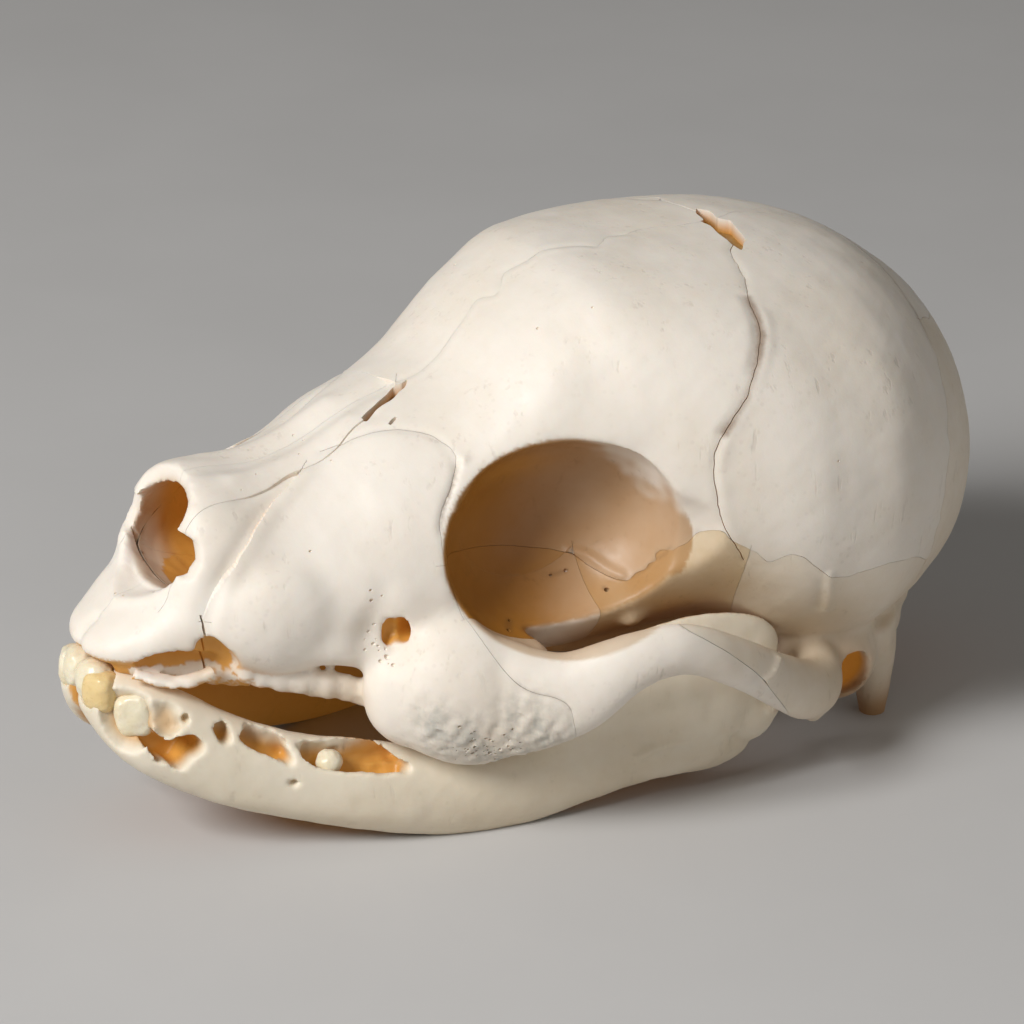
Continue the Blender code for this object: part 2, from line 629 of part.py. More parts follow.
def parted(thing, seeds, collection):
    """Splits an object into its closed pieces and names each by the seed that lies nearest to it."""
    shape = bmesh.new()
    shape.from_mesh(thing.data)
    pieces = [group for group in islands(shape) if len(group) > LEAST_FACES]
    clouds = [np.array([vert.co for face in group for vert in face.verts]) for group in pieces]
    bones = []
    for name, seed in seeds.items():
        gaps = [np.linalg.norm(cloud - np.array(seed) * MM, axis=1).min() for cloud in clouds]
        pick = int(np.argmin(gaps))
        chosen = pieces.pop(pick)
        clouds.pop(pick)
        bone = bmesh.new()
        new_vert = {}
        for face in chosen:
            for vert in face.verts:
                if vert not in new_vert:
                    new_vert[vert] = bone.verts.new(vert.co)
            bone.faces.new([new_vert[vert] for vert in face.verts])
        bones.append(object_from_bmesh(name, bone, collection, turn_out=False))
    shape.free()
    bpy.data.objects.remove(thing, do_unlink=True)
    return bones


def build_lower_jaw(work):
    """The left half of the lower jaw, with the crowns that show in its open crypts."""
    body = [
        bar("jaw_body", JAW_BODY, work),
        bar("jaw_ramus", JAW_RAMUS, work),
    ] + [ellipsoid(name, centre, radii, work) for name, (centre, radii) in JAW_ENDS.items()]
    jaw = fused("jaw", body, work, VOXEL, 4)
    for i, (centre, radii) in enumerate(JAW_CRYPTS):
        cut(jaw, ellipsoid(f"crypt_{i}", centre, radii, work))
    crowns = [ellipsoid(f"crown_{i}", centre, radii, work) for i, (centre, radii) in enumerate(JAW_CROWNS)]
    jaw = thinned(fused("mandible_left", [jaw] + crowns, work, VOXEL * 0.8, 2), JAW_TRIANGLES)
    past_chin = (SUTURE_GAP / 2, TRIM_REACH, TRIM_REACH)
    cut(jaw, slab("chin_joint", (-TRIM_REACH, -TRIM_REACH, -TRIM_REACH), past_chin, work))
    return cut(jaw, below_floor(work))


def bone_material(name, colour, roughness):
    material = bpy.data.materials.new(name)
    material.use_nodes = True
    shader = material.node_tree.nodes["Principled BSDF"]
    shader.inputs["Base Color"].default_value = (*colour, 1)
    shader.inputs["Roughness"].default_value = roughness
    shader.inputs["Metallic"].default_value = 0
    return material


def stand_on_floor(bones, parts):
    """Hangs the bones on one empty, which brings the middle of their base to the origin."""
    corners = np.array([vert.co for bone in bones for vert in bone.data.vertices])
    low, high = corners.min(axis=0), corners.max(axis=0)
    rest = bpy.data.objects.new("skull_rest", None)
    parts.objects.link(rest)
    rest.location = (-(low[0] + high[0]) / 2, -(low[1] + high[1]) / 2, -low[2])
    for bone in bones:
        bone.parent = rest
    return rest


def main():
    purge_scene()
    parts = bpy.data.collections.new("puppy_skull")
    work = bpy.data.collections.new("work")
    bpy.context.scene.collection.children.link(parts)
    bpy.context.scene.collection.children.link(work)
    cranium = build_cranium(work)
    for sheet in suture_cuts(work):
        cut(cranium, sheet)
    bones = parted(cranium, BONE_SEEDS, parts)
    jaw = build_lower_jaw(work)
    work.objects.unlink(jaw)
    parts.objects.link(jaw)
    bones += [jaw, mirrored(jaw, "mandible_right", parts)]
    for bone in bones:
        colour, roughness = FINISH_OF[bone.name.split("_")[0]]
        bone.data.materials.clear()
        bone.data.materials.append(bone_material(bone.name + "_bone", colour, roughness))
        bone.data.shade_smooth()
    stand_on_floor(bones, parts)


main()
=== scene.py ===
"""Display scene of a very young puppy's skull, life size, lying on a pale floor.

Every bone of the solid model is made again with a finer skin: the sections, the
arches and the lower jaw are fused, hollowed and parted along narrow wandering
sutures, then worked over with ridges, grooves, pits and crumbled edges. The shapes
are worked out in millimetres and brought to metres at the very end.
"""

import logging
import math
from collections.abc import Iterable, Sequence
from dataclasses import dataclass, field
from enum import Enum

import bmesh
import bpy
import numpy as np
from mathutils import Euler, Matrix, Vector
from mathutils.bvhtree import BVHTree


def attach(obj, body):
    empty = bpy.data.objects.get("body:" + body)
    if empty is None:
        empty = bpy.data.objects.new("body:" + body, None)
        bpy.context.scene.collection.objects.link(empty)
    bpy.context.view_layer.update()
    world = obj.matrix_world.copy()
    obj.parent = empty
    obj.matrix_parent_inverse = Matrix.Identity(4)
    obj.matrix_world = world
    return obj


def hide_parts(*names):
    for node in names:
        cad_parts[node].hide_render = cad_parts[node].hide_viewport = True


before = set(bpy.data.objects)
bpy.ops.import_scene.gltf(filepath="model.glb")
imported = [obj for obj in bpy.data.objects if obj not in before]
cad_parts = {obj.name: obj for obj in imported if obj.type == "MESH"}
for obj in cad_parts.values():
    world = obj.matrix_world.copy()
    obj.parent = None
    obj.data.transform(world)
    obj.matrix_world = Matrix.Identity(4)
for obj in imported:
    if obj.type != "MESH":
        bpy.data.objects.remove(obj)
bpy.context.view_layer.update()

log = logging.getLogger("puppy_skull")

Point = tuple[float, float, float]
Rows = Sequence[Sequence[float]]

MM = 0.001
REST_SHIFT = (-0.0016, -0.4676, 0.0)
VOXEL = 0.26
JAW_VOXEL = 0.2
SMOOTH_REACH = 1.2


class Aim(Enum):
    """Where a suture's cut points."""

    VAULT = "to the middle of the braincase"
    NOSE = "to the axis of the nose"
    ACROSS = "straight across"
    DOWN = "straight down"


VAULT_CORE = Vector((0.0, 14.0, 24.0))
NOSE_AXIS_HEIGHT = 23.0


def outward(point: Vector, aim: Aim) -> Vector:
    """Gives the direction in which a suture's cut leaves the bone.

    Args:
        point: A point on the suture.
        aim: Where the cut points.

    Returns:
        A unit vector.
    """
    if aim is Aim.VAULT:
        return (point - VAULT_CORE).normalized()
    if aim is Aim.NOSE:
        return (point - Vector((0, point.y, NOSE_AXIS_HEIGHT))).normalized()
    return Vector((1, 0, 0)) if aim is Aim.ACROSS else Vector((0, 0, 1))


# Numbers along curves


def smooth_table(rows: Rows, step: float) -> np.ndarray:
    """Fills rows led by a rising position with a monotone cubic.

    Args:
        rows: Rows of numbers, the first of each a position.
        step: The distance between the new rows.

    Returns:
        The filled rows.
    """
    table = np.array(rows, float)
    places = table[:, 0]
    count = int(round((places[-1] - places[0]) / step)) + 1
    wanted = np.linspace(places[0], places[-1], count)
    gaps = np.diff(places)
    index = np.clip(np.searchsorted(places, wanted, side="right") - 1, 0, len(gaps) - 1)
    t = (wanted - places[index]) / gaps[index]
    columns = [wanted]
    for values in table.T[1:]:
        slopes = np.diff(values) / gaps
        tangents = np.concatenate([[slopes[0]], (slopes[:-1] + slopes[1:]) / 2, [slopes[-1]]])
        tangents[1:-1][slopes[:-1] * slopes[1:] <= 0] = 0
        for i, slope in enumerate(slopes):
            limit = 3 * abs(slope)
            tangents[i] = np.clip(tangents[i], -limit, limit)
            tangents[i + 1] = np.clip(tangents[i + 1], -limit, limit)
        rise_low = tangents[index] * gaps[index]
        rise_high = tangents[index + 1] * gaps[index]
        columns.append(
            (2 * t**3 - 3 * t**2 + 1) * values[index]
            + (t**3 - 2 * t**2 + t) * rise_low
            + (3 * t**2 - 2 * t**3) * values[index + 1]
            + (t**3 - t**2) * rise_high
        )
    return np.array(columns).T


def smooth_path(points: Rows, samples: int) -> np.ndarray:
    """Gives rows along a Catmull-Rom curve through the given rows.

    Args:
        points: The rows that the curve passes.
        samples: How many new rows each stretch gets.

    Returns:
        The rows of the curve.
    """
    rows = np.array(points, float)
    padded = np.vstack([2 * rows[0] - rows[1], rows, 2 * rows[-1] - rows[-2]])
    out = []
    for i in range(len(rows) - 1):
        a, b, c, d = padded[i : i + 4]
        for t in np.linspace(0, 1, samples, endpoint=False):
            bend = (2 * a - 5 * b + 4 * c - d) * t**2 + (3 * b - a - 3 * c + d) * t**3
            out.append(0.5 * (2 * b + (c - a) * t + bend))
    out.append(rows[-1])
    return np.array(out)


def waves(points: np.ndarray, size: float, seed: int, octaves: int = 2) -> np.ndarray:
    """Gives a smooth wandering value from about -1 to 1 at each point.

    Args:
        points: Places in millimetres, one a row.
        size: The size of the largest waves in millimetres.
        seed: Another number gives other waves.
        octaves: How many finer layers are added, each half as strong.

    Returns:
        One value for each point.
    """
    random = np.random.default_rng(seed)
    total = np.zeros(len(points))
    strength, reach = 1.0, size
    for _ in range(octaves):
        ways = random.normal(size=(9, 3))
        ways *= (2 * math.pi / reach) * random.uniform(0.6, 1.4, (9, 1)) / np.linalg.norm(ways, axis=1, keepdims=True)
        phases = random.uniform(0, 2 * math.pi, 9)
        total += strength * np.sin(points @ ways.T + phases).mean(axis=1) * 1.7
        strength, reach = strength / 2, reach / 2.1
    return total


def step_up(values: np.ndarray, low: float, high: float) -> np.ndarray:
    """Rises smoothly from 0 at low to 1 at high, or falls where low is above high."""
    t = np.clip((values - low) / (high - low), 0, 1)
    return t * t * (3 - 2 * t)


# Solid shapes


def object_from(name: str, shape: bmesh.types.BMesh, turn_out: bool = True) -> bpy.types.Object:
    """Turns a bmesh into an object of the scene.

    Args:
        name: The object's name.
        shape: The bmesh, which is freed.
        turn_out: Whether its faces are turned outwards first.

    Returns:
        The new object.
    """
    if turn_out:
        bmesh.ops.recalc_face_normals(shape, faces=shape.faces)
    data = bpy.data.meshes.new(name)
    shape.to_mesh(data)
    shape.free()
    thing = bpy.data.objects.new(name, data)
    bpy.context.scene.collection.objects.link(thing)
    return thing


def rolled_skin(name: str, rings: Sequence[np.ndarray]) -> bpy.types.Object:
    """Rolls a grid through rings of points, welds its seam and fills its ends.

    Args:
        name: The object's name.
        rings: Rings with the same number of points each.

    Returns:
        The closed object.
    """
    count = len(rings[0])
    shape = bmesh.new()
    bmesh.ops.create_grid(shape, x_segments=count, y_segments=len(rings) - 1, size=1)
    order = sorted(shape.verts, key=lambda vert: (round(vert.co.y, 6), vert.co.x))
    for i, vert in enumerate(order):
        level, place = divmod(i, count + 1)
        vert.co = rings[level][place % count]
    bmesh.ops.remove_doubles(shape, verts=shape.verts, dist=1e-6)
    bmesh.ops.holes_fill(shape, edges=shape.edges, sides=0)
    return object_from(name, shape)


def ellipsoid(name: str, centre: Point, radii: Point, turn: Point = (0, 0, 0), fineness: int = 3) -> bpy.types.Object:
    """Makes an ellipsoid, turned by degrees about X, Y and Z."""
    shape = bmesh.new()
    bmesh.ops.create_icosphere(shape, subdivisions=fineness, radius=1)
    spin = Matrix.Rotation(math.radians(turn[2]), 4, "Z") @ Matrix.Rotation(math.radians(turn[1]), 4, "Y")
    spin = spin @ Matrix.Rotation(math.radians(turn[0]), 4, "X")
    place = Matrix.Translation(centre) @ spin @ Matrix.Diagonal((*radii, 1))
    bmesh.ops.transform(shape, matrix=place, verts=shape.verts)
    return object_from(name, shape)


def slab(name: str, low: Point, high: Point) -> bpy.types.Object:
    """Makes a box between two corners."""
    shape = bmesh.new()
    bmesh.ops.create_cube(shape, size=1)
    middle, size = (Vector(low) + Vector(high)) / 2, Vector(high) - Vector(low)
    bmesh.ops.transform(shape, matrix=Matrix.Translation(middle) @ Matrix.Diagonal((*size, 1)), verts=shape.verts)
    return object_from(name, shape)


def bar(name: str, stops: Rows, lean: float = 0.0, samples: int = 6, sides: int = 24) -> bpy.types.Object:
    """Sweeps a changing oval along a curve.

    Args:
        name: The object's name.
        stops: X, Y, Z, half thickness and half height at each stop.
        lean: How many degrees its height leans outwards at its top.
        samples: How many rings each stretch gets.
        sides: How many points each ring has.

    Returns:
        The closed bar.
    """
    rows = smooth_path(stops, samples)
    ways = np.gradient(rows[:, :3], axis=0)
    upright = Vector((math.sin(math.radians(lean)), 0, math.cos(math.radians(lean))))
    angles = np.linspace(0, 2 * math.pi, sides, endpoint=False)
    rings = []
    for row, way in zip(rows, ways):
        forward = Vector(way).normalized()
        side = forward.cross(upright).normalized()
        up = side.cross(forward).normalized()
        across = np.outer(np.cos(angles) * row[3], side) + np.outer(np.sin(angles) * row[4], up)
        rings.append(row[:3] + across)
    return rolled_skin(name, rings)


def prism(name: str, outline: Rows, axis: int, low: float, high: float) -> bpy.types.Object:
    """Extrudes a flat outline along an axis.

    Args:
        name: The object's name.
        outline: The two other coordinates of each corner, in the order of the axes.
        axis: 0, 1 or 2 for X, Y or Z.
        low: Where the prism starts along the axis.
        high: Where it ends.

    Returns:
        The closed prism.
    """
    shape = bmesh.new()
    corners = [list(corner) for corner in outline]
    for corner in corners:
        corner.insert(axis, low)
    face = shape.faces.new([shape.verts.new(corner) for corner in corners])
    grown = bmesh.ops.extrude_face_region(shape, geom=[face])
    moved = [item for item in grown["geom"] if isinstance(item, bmesh.types.BMVert)]
    step = Vector((0, 0, 0))
    step[axis] = high - low
    bmesh.ops.translate(shape, vec=step, verts=moved)
    return object_from(name, shape)


def settled(thing: bpy.types.Object) -> bpy.types.Object:
    """Makes the object's mesh what its modifiers give, and drops the modifiers."""
    graph = bpy.context.evaluated_depsgraph_get()
    made = bpy.data.meshes.new_from_object(thing.evaluated_get(graph))
    thing.modifiers.clear()
    thing.data = made
    return thing


def removed(thing: bpy.types.Object) -> None:
    """Takes an object out of the scene."""
    bpy.data.objects.remove(thing, do_unlink=True)


def joined(name: str, pieces: Iterable[bpy.types.Object]) -> bpy.types.Object:
    """Puts several closed pieces in one object, each with the faces that it has."""
    shape = bmesh.new()
    for piece in pieces:
        shape.from_mesh(piece.data)
        removed(piece)
    return object_from(name, shape, turn_out=False)


def mirrored(thing: bpy.types.Object, name: str) -> bpy.types.Object:
    """Makes a copy of a left piece for the right."""
    shape = bmesh.new()
    shape.from_mesh(thing.data)
    bmesh.ops.transform(shape, matrix=Matrix.Diagonal((-1, 1, 1, 1)), verts=shape.verts)
    bmesh.ops.reverse_faces(shape, faces=shape.faces)
    return object_from(name, shape, turn_out=False)


def both_sides(pieces: list[bpy.types.Object]) -> list[bpy.types.Object]:
    """Gives the left pieces and their mirrored copies."""
    return pieces + [mirrored(piece, piece.name + "_right") for piece in pieces]


def fused(name: str, pieces: Iterable[bpy.types.Object], voxel: float, reach: float) -> bpy.types.Object:
    """Draws one skin round overlapping closed pieces and softens its creases.

    Args:
        name: The object's name.
        pieces: The closed pieces, which are used up.
        voxel: The fineness of the skin.
        reach: How far, in millimetres, the softening spreads.

    Returns:
        The fused object.
    """
    thing = joined(name, pieces)
    remesh = thing.modifiers.new("skin", "REMESH")
    remesh.mode = "VOXEL"
    remesh.voxel_size = voxel
    if reach:
        soften = thing.modifiers.new("soften", "SMOOTH")
        soften.factor = 0.5
        soften.iterations = max(1, round((reach / voxel) ** 2))
    return settled(thing)


def cut(thing: bpy.types.Object, cutter: bpy.types.Object) -> bpy.types.Object:
    """Takes a closed cutter away from the object."""
    bite = thing.modifiers.new("cut", "BOOLEAN")
    bite.operation = "DIFFERENCE"
    bite.solver = "MANIFOLD"
    bite.object = cutter
    settled(thing)
    removed(cutter)
    return thing


def roughened(thing: bpy.types.Object, size: float, height: float, seed: int) -> bpy.types.Object:
    """Moves a piece's points in and out, so that what it cuts or adds looks crumbled."""
    count = len(thing.data.vertices)
    places = np.empty(count * 3)
    thing.data.vertices.foreach_get("co", places)
    normals = np.empty(count * 3)
    thing.data.vertices.foreach_get("normal", normals)
    places, normals = places.reshape(-1, 3), normals.reshape(-1, 3)
    places += normals * (waves(places, size, seed, 3) * height)[:, None]
    thing.data.vertices.foreach_set("co", places.ravel())
    thing.data.update()
    return thing


def islands(thing: bpy.types.Object, least: int = 300) -> list[bpy.types.Object]:
    """Splits an object into its loose pieces and drops the scraps.

    Args:
        thing: The object, which is used up.
        least: The fewest vertices that a piece may have.

    Returns:
        The pieces.
    """
    bpy.ops.object.select_all(action="DESELECT")
    thing.select_set(True)
    bpy.context.view_layer.objects.active = thing
    bpy.ops.mesh.separate(type="LOOSE")
    pieces = list(bpy.context.selected_objects)
    kept = [piece for piece in pieces if len(piece.data.vertices) >= least]
    for piece in pieces:
        if piece not in kept:
            removed(piece)
    return kept


def section_ring(row: Sequence[float], count: int) -> np.ndarray:
    """Draws one cross-section: two half superellipses that share their widest level.

    Args:
        row: Y, roof, half width, widest level, floor, and the upper and lower squareness.
        count: How many points the ring has.

    Returns:
        The points of the ring.
    """
    y, roof, half, middle, floor, upper, lower = row
    angles = np.linspace(0, 2 * math.pi, count, endpoint=False)
    wide, high = np.cos(angles), np.sin(angles)
    power = np.where(high >= 0, 2 / upper, 2 / lower)
    reach = np.where(high >= 0, roof - middle, middle - floor)
    x = half * np.sign(wide) * np.abs(wide) ** power
    z = middle + reach * np.sign(high) * np.abs(high) ** power
    return np.stack([x, np.full(count, y), z], axis=1)


# The sutures and the marks on the bone


@dataclass(frozen=True)
class Suture:
    """A thin cut between two bones.

    Attributes:
        aim: Where the cut points.
        rise: How far it stands out of the bone.
        depth: How far it reaches in.
        points: The line that it follows.
        wander: How far the line strays to each side.
        gap: How wide it is.
        floor: A level under which it never reaches.
    """

    aim: Aim
    rise: float
    depth: float
    points: Rows
    wander: float = 0.0
    gap: float = 0.03
    floor: float = -50.0

    def blade(self, name: str) -> bpy.types.Object:
        """Makes the thin sheet that parts the bone along the suture."""
        line = smooth_path(self.points, 7)
        stray = np.stack([waves(line, 2.2, 11 + axis, 3) for axis in range(3)], axis=1) * self.wander
        ways = np.gradient(line, axis=0)
        ways /= np.linalg.norm(ways, axis=1, keepdims=True)
        line = line + stray - ways * (stray * ways).sum(axis=1, keepdims=True)
        shape = bmesh.new()
        bmesh.ops.create_grid(shape, x_segments=1, y_segments=len(line) - 1, size=1)
        order = sorted(shape.verts, key=lambda vert: (round(vert.co.y, 6), vert.co.x))
        for i, vert in enumerate(order):
            level, foot = divmod(i, 2)
            point = Vector(line[level])
            out = outward(point, self.aim)
            vert.co = point - out * self.depth if foot else point + out * self.rise
            vert.co.z = max(vert.co.z, self.floor)
        bmesh.ops.triangulate(shape, faces=shape.faces)
        sheet = object_from(name, shape)
        body = sheet.modifiers.new("width", "SOLIDIFY")
        body.thickness = self.gap
        body.offset = 0
        body.use_even_offset = True
        return settled(sheet)


@dataclass(frozen=True)
class Stroke:
    """A ridge, groove, swelling or dent worked into the skin of the bones.

    Attributes:
        points: The line that it follows, or a single point.
        reach: How far it spreads to each side.
        height: How far it rises, or sinks where it is below 0.
        bones: The first words of the names of the bones that it marks, or none for all.
        both: Whether the other side gets it too.
    """

    points: Rows
    reach: float
    height: float
    bones: tuple[str, ...] = ()
    both: bool = True

    def lift(self, places: np.ndarray, bone: str) -> np.ndarray:
        """Gives how far each place on a bone moves out.

        Args:
            places: Points of the bone's skin.
            bone: The bone's name.

        Returns:
            A height in millimetres for each place.
        """
        total = np.zeros(len(places))
        if self.bones and not bone.startswith(self.bones):
            return total
        line = smooth_path(self.points, 5) if len(self.points) > 2 else np.array(self.points, float)
        for side in (1, -1) if self.both else (1,):
            total += self._one_line(places, line * (side, 1, 1))
        return total

    def _one_line(self, places: np.ndarray, line: np.ndarray) -> np.ndarray:
        """Gives the heights along one line."""
        out = np.zeros(len(places))
        margin = self.reach * 2.6
        near = np.all((places > line.min(axis=0) - margin) & (places < line.max(axis=0) + margin), axis=1)
        if not near.any():
            return out
        some = places[near]
        least = np.full(len(some), 1e9)
        if len(line) == 1:
            least = ((some - line[0]) ** 2).sum(axis=1)
        for start, end in zip(line, line[1:]):
            way = end - start
            share = np.clip((some - start) @ way / max(way @ way, 1e-9), 0, 1)
            least = np.minimum(least, ((some - start - share[:, None] * way) ** 2).sum(axis=1))
        out[near] = self.height * np.exp(-least / self.reach**2)
        return out


# Colour fields of the bone


@dataclass(frozen=True)
class EyeSocket:
    """The hollow of the left eye, which the right side mirrors."""

    centre: Point = (14.8, -3.2, 22.2)
    radii: Point = (8.6, 8.9, 7.6)
    turn: Point = (0, 0, -8)
    rear_centre: Point = (22.5, 1.0, 21.5)
    rear_radii: Point = (9.0, 8.5, 7.0)
    fade_way: Point = (0.0, 0.678, 0.735)
    fade: float = 21.4

    def hollows(self, grow: float = 0.0) -> list[bpy.types.Object]:
        """Makes the hollow and the one that runs on to the temple, grown by so much on every side."""
        radii, rear = ([radius + grow for radius in each] for each in (self.radii, self.rear_radii))
        return [
            ellipsoid("eye_hollow", self.centre, radii, self.turn, 5),
            ellipsoid("temple_hollow", self.rear_centre, rear, fineness=5),
        ]

    def inside(self, places: np.ndarray) -> np.ndarray:
        """Gives 1 on the socket's wall and 0 outside it."""
        spin = np.array(Matrix.Rotation(math.radians(self.turn[2]), 3, "Z"))
        folded = np.stack([np.abs(places[:, 0]), places[:, 1], places[:, 2]], axis=1)
        front = np.linalg.norm(((folded - self.centre) @ spin) / self.radii, axis=1)
        rear = np.linalg.norm((folded - self.rear_centre) / np.array(self.rear_radii), axis=1)
        rear += step_up(folded[:, 0], 15.5, 17.5)
        high = folded @ self.fade_way + waves(folded, 3.0, 35) * 0.5
        return step_up(np.minimum(front, rear), 1.05, 1.012) * step_up(high, self.fade + 1.0, self.fade - 0.8)


@dataclass(frozen=True)
class Spot:
    """A soft round patch where the bone takes another tone or painted shade."""

    centre: Point
    radii: Point
    strength: float = 1.0

    def at(self, places: np.ndarray) -> np.ndarray:
        """Gives how strong the patch is at each place, the same left and right."""
        across = np.stack([np.abs(places[:, 0]), places[:, 1], places[:, 2]], axis=1) - self.centre
        return self.strength * np.exp(-((across / self.radii) ** 2).sum(axis=1))


@dataclass(frozen=True)
class Window:
    """A ragged opening that is cut straight across from the side.

    Attributes:
        outline: The Y and Z of its corners.
        low: How far from the midline it starts.
        high: How far from the midline it ends.
        stray: How ragged its edge is.
    """

    outline: Rows
    low: float
    high: float
    stray: float = 0.15

    def cutter(self, name: str, seed: int) -> bpy.types.Object:
        """Makes the closed cutter."""
        edge = smooth_path([*self.outline, self.outline[0]], 6)[:-1]
        flat = np.column_stack([np.zeros(len(edge)), edge])
        edge += self.stray * np.stack([waves(flat, 1.2, seed + i, 3) for i in (0, 9)], axis=1)
        return prism(name, edge.tolist(), 0, self.low, self.high)


NOSTRIL_SIDE = (
    (-26.9, 27.8), (-27.9, 27.1), (-27.3, 26.7), (-28.3, 26.0), (-29.1, 24.6), (-28.1, 24.2), (-28.7, 22.1),
    (-29.9, 21.4), (-32.5, 21.4), (-33.5, 28.5),
)
INCISOR_WELL = (
    (-32.7, 15.6), (-32.0, 16.1), (-30.7, 16.4), (-29.3, 16.2), (-28.2, 15.6), (-28.0, 14.2), (-30.3, 14.0),
    (-32.9, 14.4),
)
CANINE_WELL = (
    (-28.6, 17.5), (-27.9, 17.5), (-27.0, 16.6), (-26.0, 15.2), (-25.7, 13.0), (-28.9, 13.0), (-29.3, 15.4),
)
INFRAORBITAL = (
    (-16.3, 18.0), (-15.6, 18.0), (-15.3, 17.4), (-15.2, 16.8), (-15.3, 16.3), (-15.6, 16.0), (-15.9, 15.7),
    (-16.3, 15.9), (-16.5, 16.7),
)


# The skull without its lower jaw


@dataclass
class Cranium:
    """Braincase, face and arches, fused, hollowed and parted into bones."""

    vault_wall: float = 1.3
    vault_floor: float = 2.4
    socket_wall: float = 1.0
    cavity: tuple[float, float] = (1.0, 35.6)
    socket: EyeSocket = field(default_factory=EyeSocket)
    windows: tuple["Window", ...] = (
        Window(NOSTRIL_SIDE, 2.0, 12.0, 0.12),
        Window(INCISOR_WELL, 3.6, 12.0, 0.1),
        Window(CANINE_WELL, 5.9, 12.0, 0.22),
        Window(INFRAORBITAL, 10.2, 14.0, 0.06),
    )
    sections: Rows = (
        (-35.5, 16.1, 1.9, 15.7, 15.2, 2.0, 2.5),
        (-34.8, 16.8, 3.3, 15.9, 14.9, 2.4, 2.8),
        (-33.2, 17.9, 4.8, 16.2, 14.7, 2.6, 3.2),
        (-31.5, 19.2, 5.8, 16.6, 15.0, 2.7, 3.6),
        (-30.0, 21.2, 6.4, 17.0, 15.3, 2.4, 3.8),
        (-29.2, 25.1, 6.7, 17.1, 15.5, 2.5, 3.8),
        (-28.3, 26.7, 7.0, 17.2, 15.6, 2.7, 3.8),
        (-25.8, 27.7, 8.1, 17.0, 15.2, 2.35, 3.8),
        (-22.0, 27.5, 9.8, 16.6, 14.2, 2.0, 3.8),
        (-18.0, 28.3, 11.2, 16.8, 13.2, 2.1, 3.6),
        (-14.0, 30.2, 12.2, 17.8, 12.3, 2.2, 3.2),
        (-10.3, 31.4, 12.7, 19.5, 11.6, 2.2, 3.0),
        (-7.5, 32.6, 12.6, 21.5, 11.0, 2.35, 3.1),
        (-3.3, 36.1, 12.8, 23.5, 10.5, 2.5, 3.3),
        (-0.8, 37.8, 13.5, 24.5, 10.4, 2.65, 3.2),
        (3.1, 39.5, 15.4, 25.0, 10.3, 2.85, 2.6),
        (9.7, 39.8, 18.6, 24.5, 9.4, 2.65, 1.9),
        (15.8, 39.9, 20.3, 24.0, 8.0, 2.25, 2.3),
        (21.0, 39.3, 20.2, 23.5, 7.2, 2.15, 2.5),
        (26.0, 37.7, 18.0, 22.5, 7.0, 2.1, 2.2),
        (30.0, 35.2, 15.0, 21.8, 7.6, 2.0, 2.0),
        (33.5, 31.9, 11.2, 21.0, 9.2, 2.0, 2.0),
        (36.0, 27.0, 7.0, 20.0, 12.7, 2.0, 2.0),
        (37.2, 23.0, 3.0, 19.5, 16.2, 2.0, 2.0),
    )
    passage: Rows = (
        (-40.0, 26.0, 4.5, 22.3, 19.9),
        (-30.0, 25.6, 4.5, 22.2, 19.6),
        (-27.0, 26.3, 5.4, 21.5, 18.4),
        (-22.0, 26.7, 6.4, 21.0, 17.3),
        (-17.0, 27.2, 6.6, 21.5, 16.6),
        (-12.5, 29.0, 6.4, 23.0, 16.6),
        (-9.0, 30.0, 4.6, 24.5, 18.0),
        (-7.4, 30.0, 2.6, 25.5, 20.5),
    )
    arch: Rows = (
        (12.5, -13.5, 13.2, 2.2, 4.5),
        (15.2, -9.5, 12.0, 2.2, 4.6),
        (18.0, -5.2, 12.4, 1.8, 3.3),
        (19.9, -0.8, 14.8, 1.5, 2.2),
        (20.6, 3.4, 15.2, 1.3, 1.9),
        (20.3, 8.0, 12.9, 1.3, 1.9),
        (18.9, 12.0, 10.2, 1.4, 2.1),
        (17.0, 15.6, 7.8, 1.8, 2.3),
        (14.6, 18.0, 7.2, 2.2, 2.4),
        (11.5, 18.6, 8.8, 2.2, 2.2),
    )
    arch_lean: float = -12.0
    rear_foot: Rows = (
        (10.6, 25.3, 9.5, 2.2, 2.6),
        (9.4, 26.6, 4.8, 1.7, 1.9),
        (8.4, 27.3, -0.9, 0.9, 1.0),
    )
    margins: tuple[Rows, ...] = (
        (
            (4.4, -33.0, 14.6, 0.5, 0.35),
            (5.2, -31.6, 14.1, 0.7, 0.4),
            (6.0, -30.0, 13.9, 0.7, 0.45),
            (6.4, -28.6, 14.2, 0.7, 0.5),
            (6.8, -27.4, 14.6, 0.6, 0.5),
        ),
        (
            (6.9, -25.0, 13.9, 0.7, 0.9),
            (7.8, -21.5, 12.9, 0.8, 1.0),
            (8.8, -18.0, 11.9, 0.8, 1.0),
            (9.6, -15.0, 10.6, 0.8, 1.0),
        ),
    )

    inner_wall: Rows = (
        (2.2, -33.4, 14.8, 0.8, 0.8),
        (3.1, -32.0, 14.6, 0.8, 1.1),
        (3.7, -30.0, 14.5, 0.8, 1.3),
        (4.2, -28.2, 14.3, 0.8, 1.4),
        (5.0, -26.4, 14.0, 0.9, 1.5),
        (6.0, -24.4, 13.6, 0.9, 1.3),
    )

    def rows(self) -> np.ndarray:
        """Gives the head's sections every half millimetre."""
        return smooth_table(self.sections, 0.5)

    def head(self) -> bpy.types.Object:
        """Lofts braincase and snout in one."""
        return rolled_skin("head", [section_ring(row, 96) for row in self.rows()])

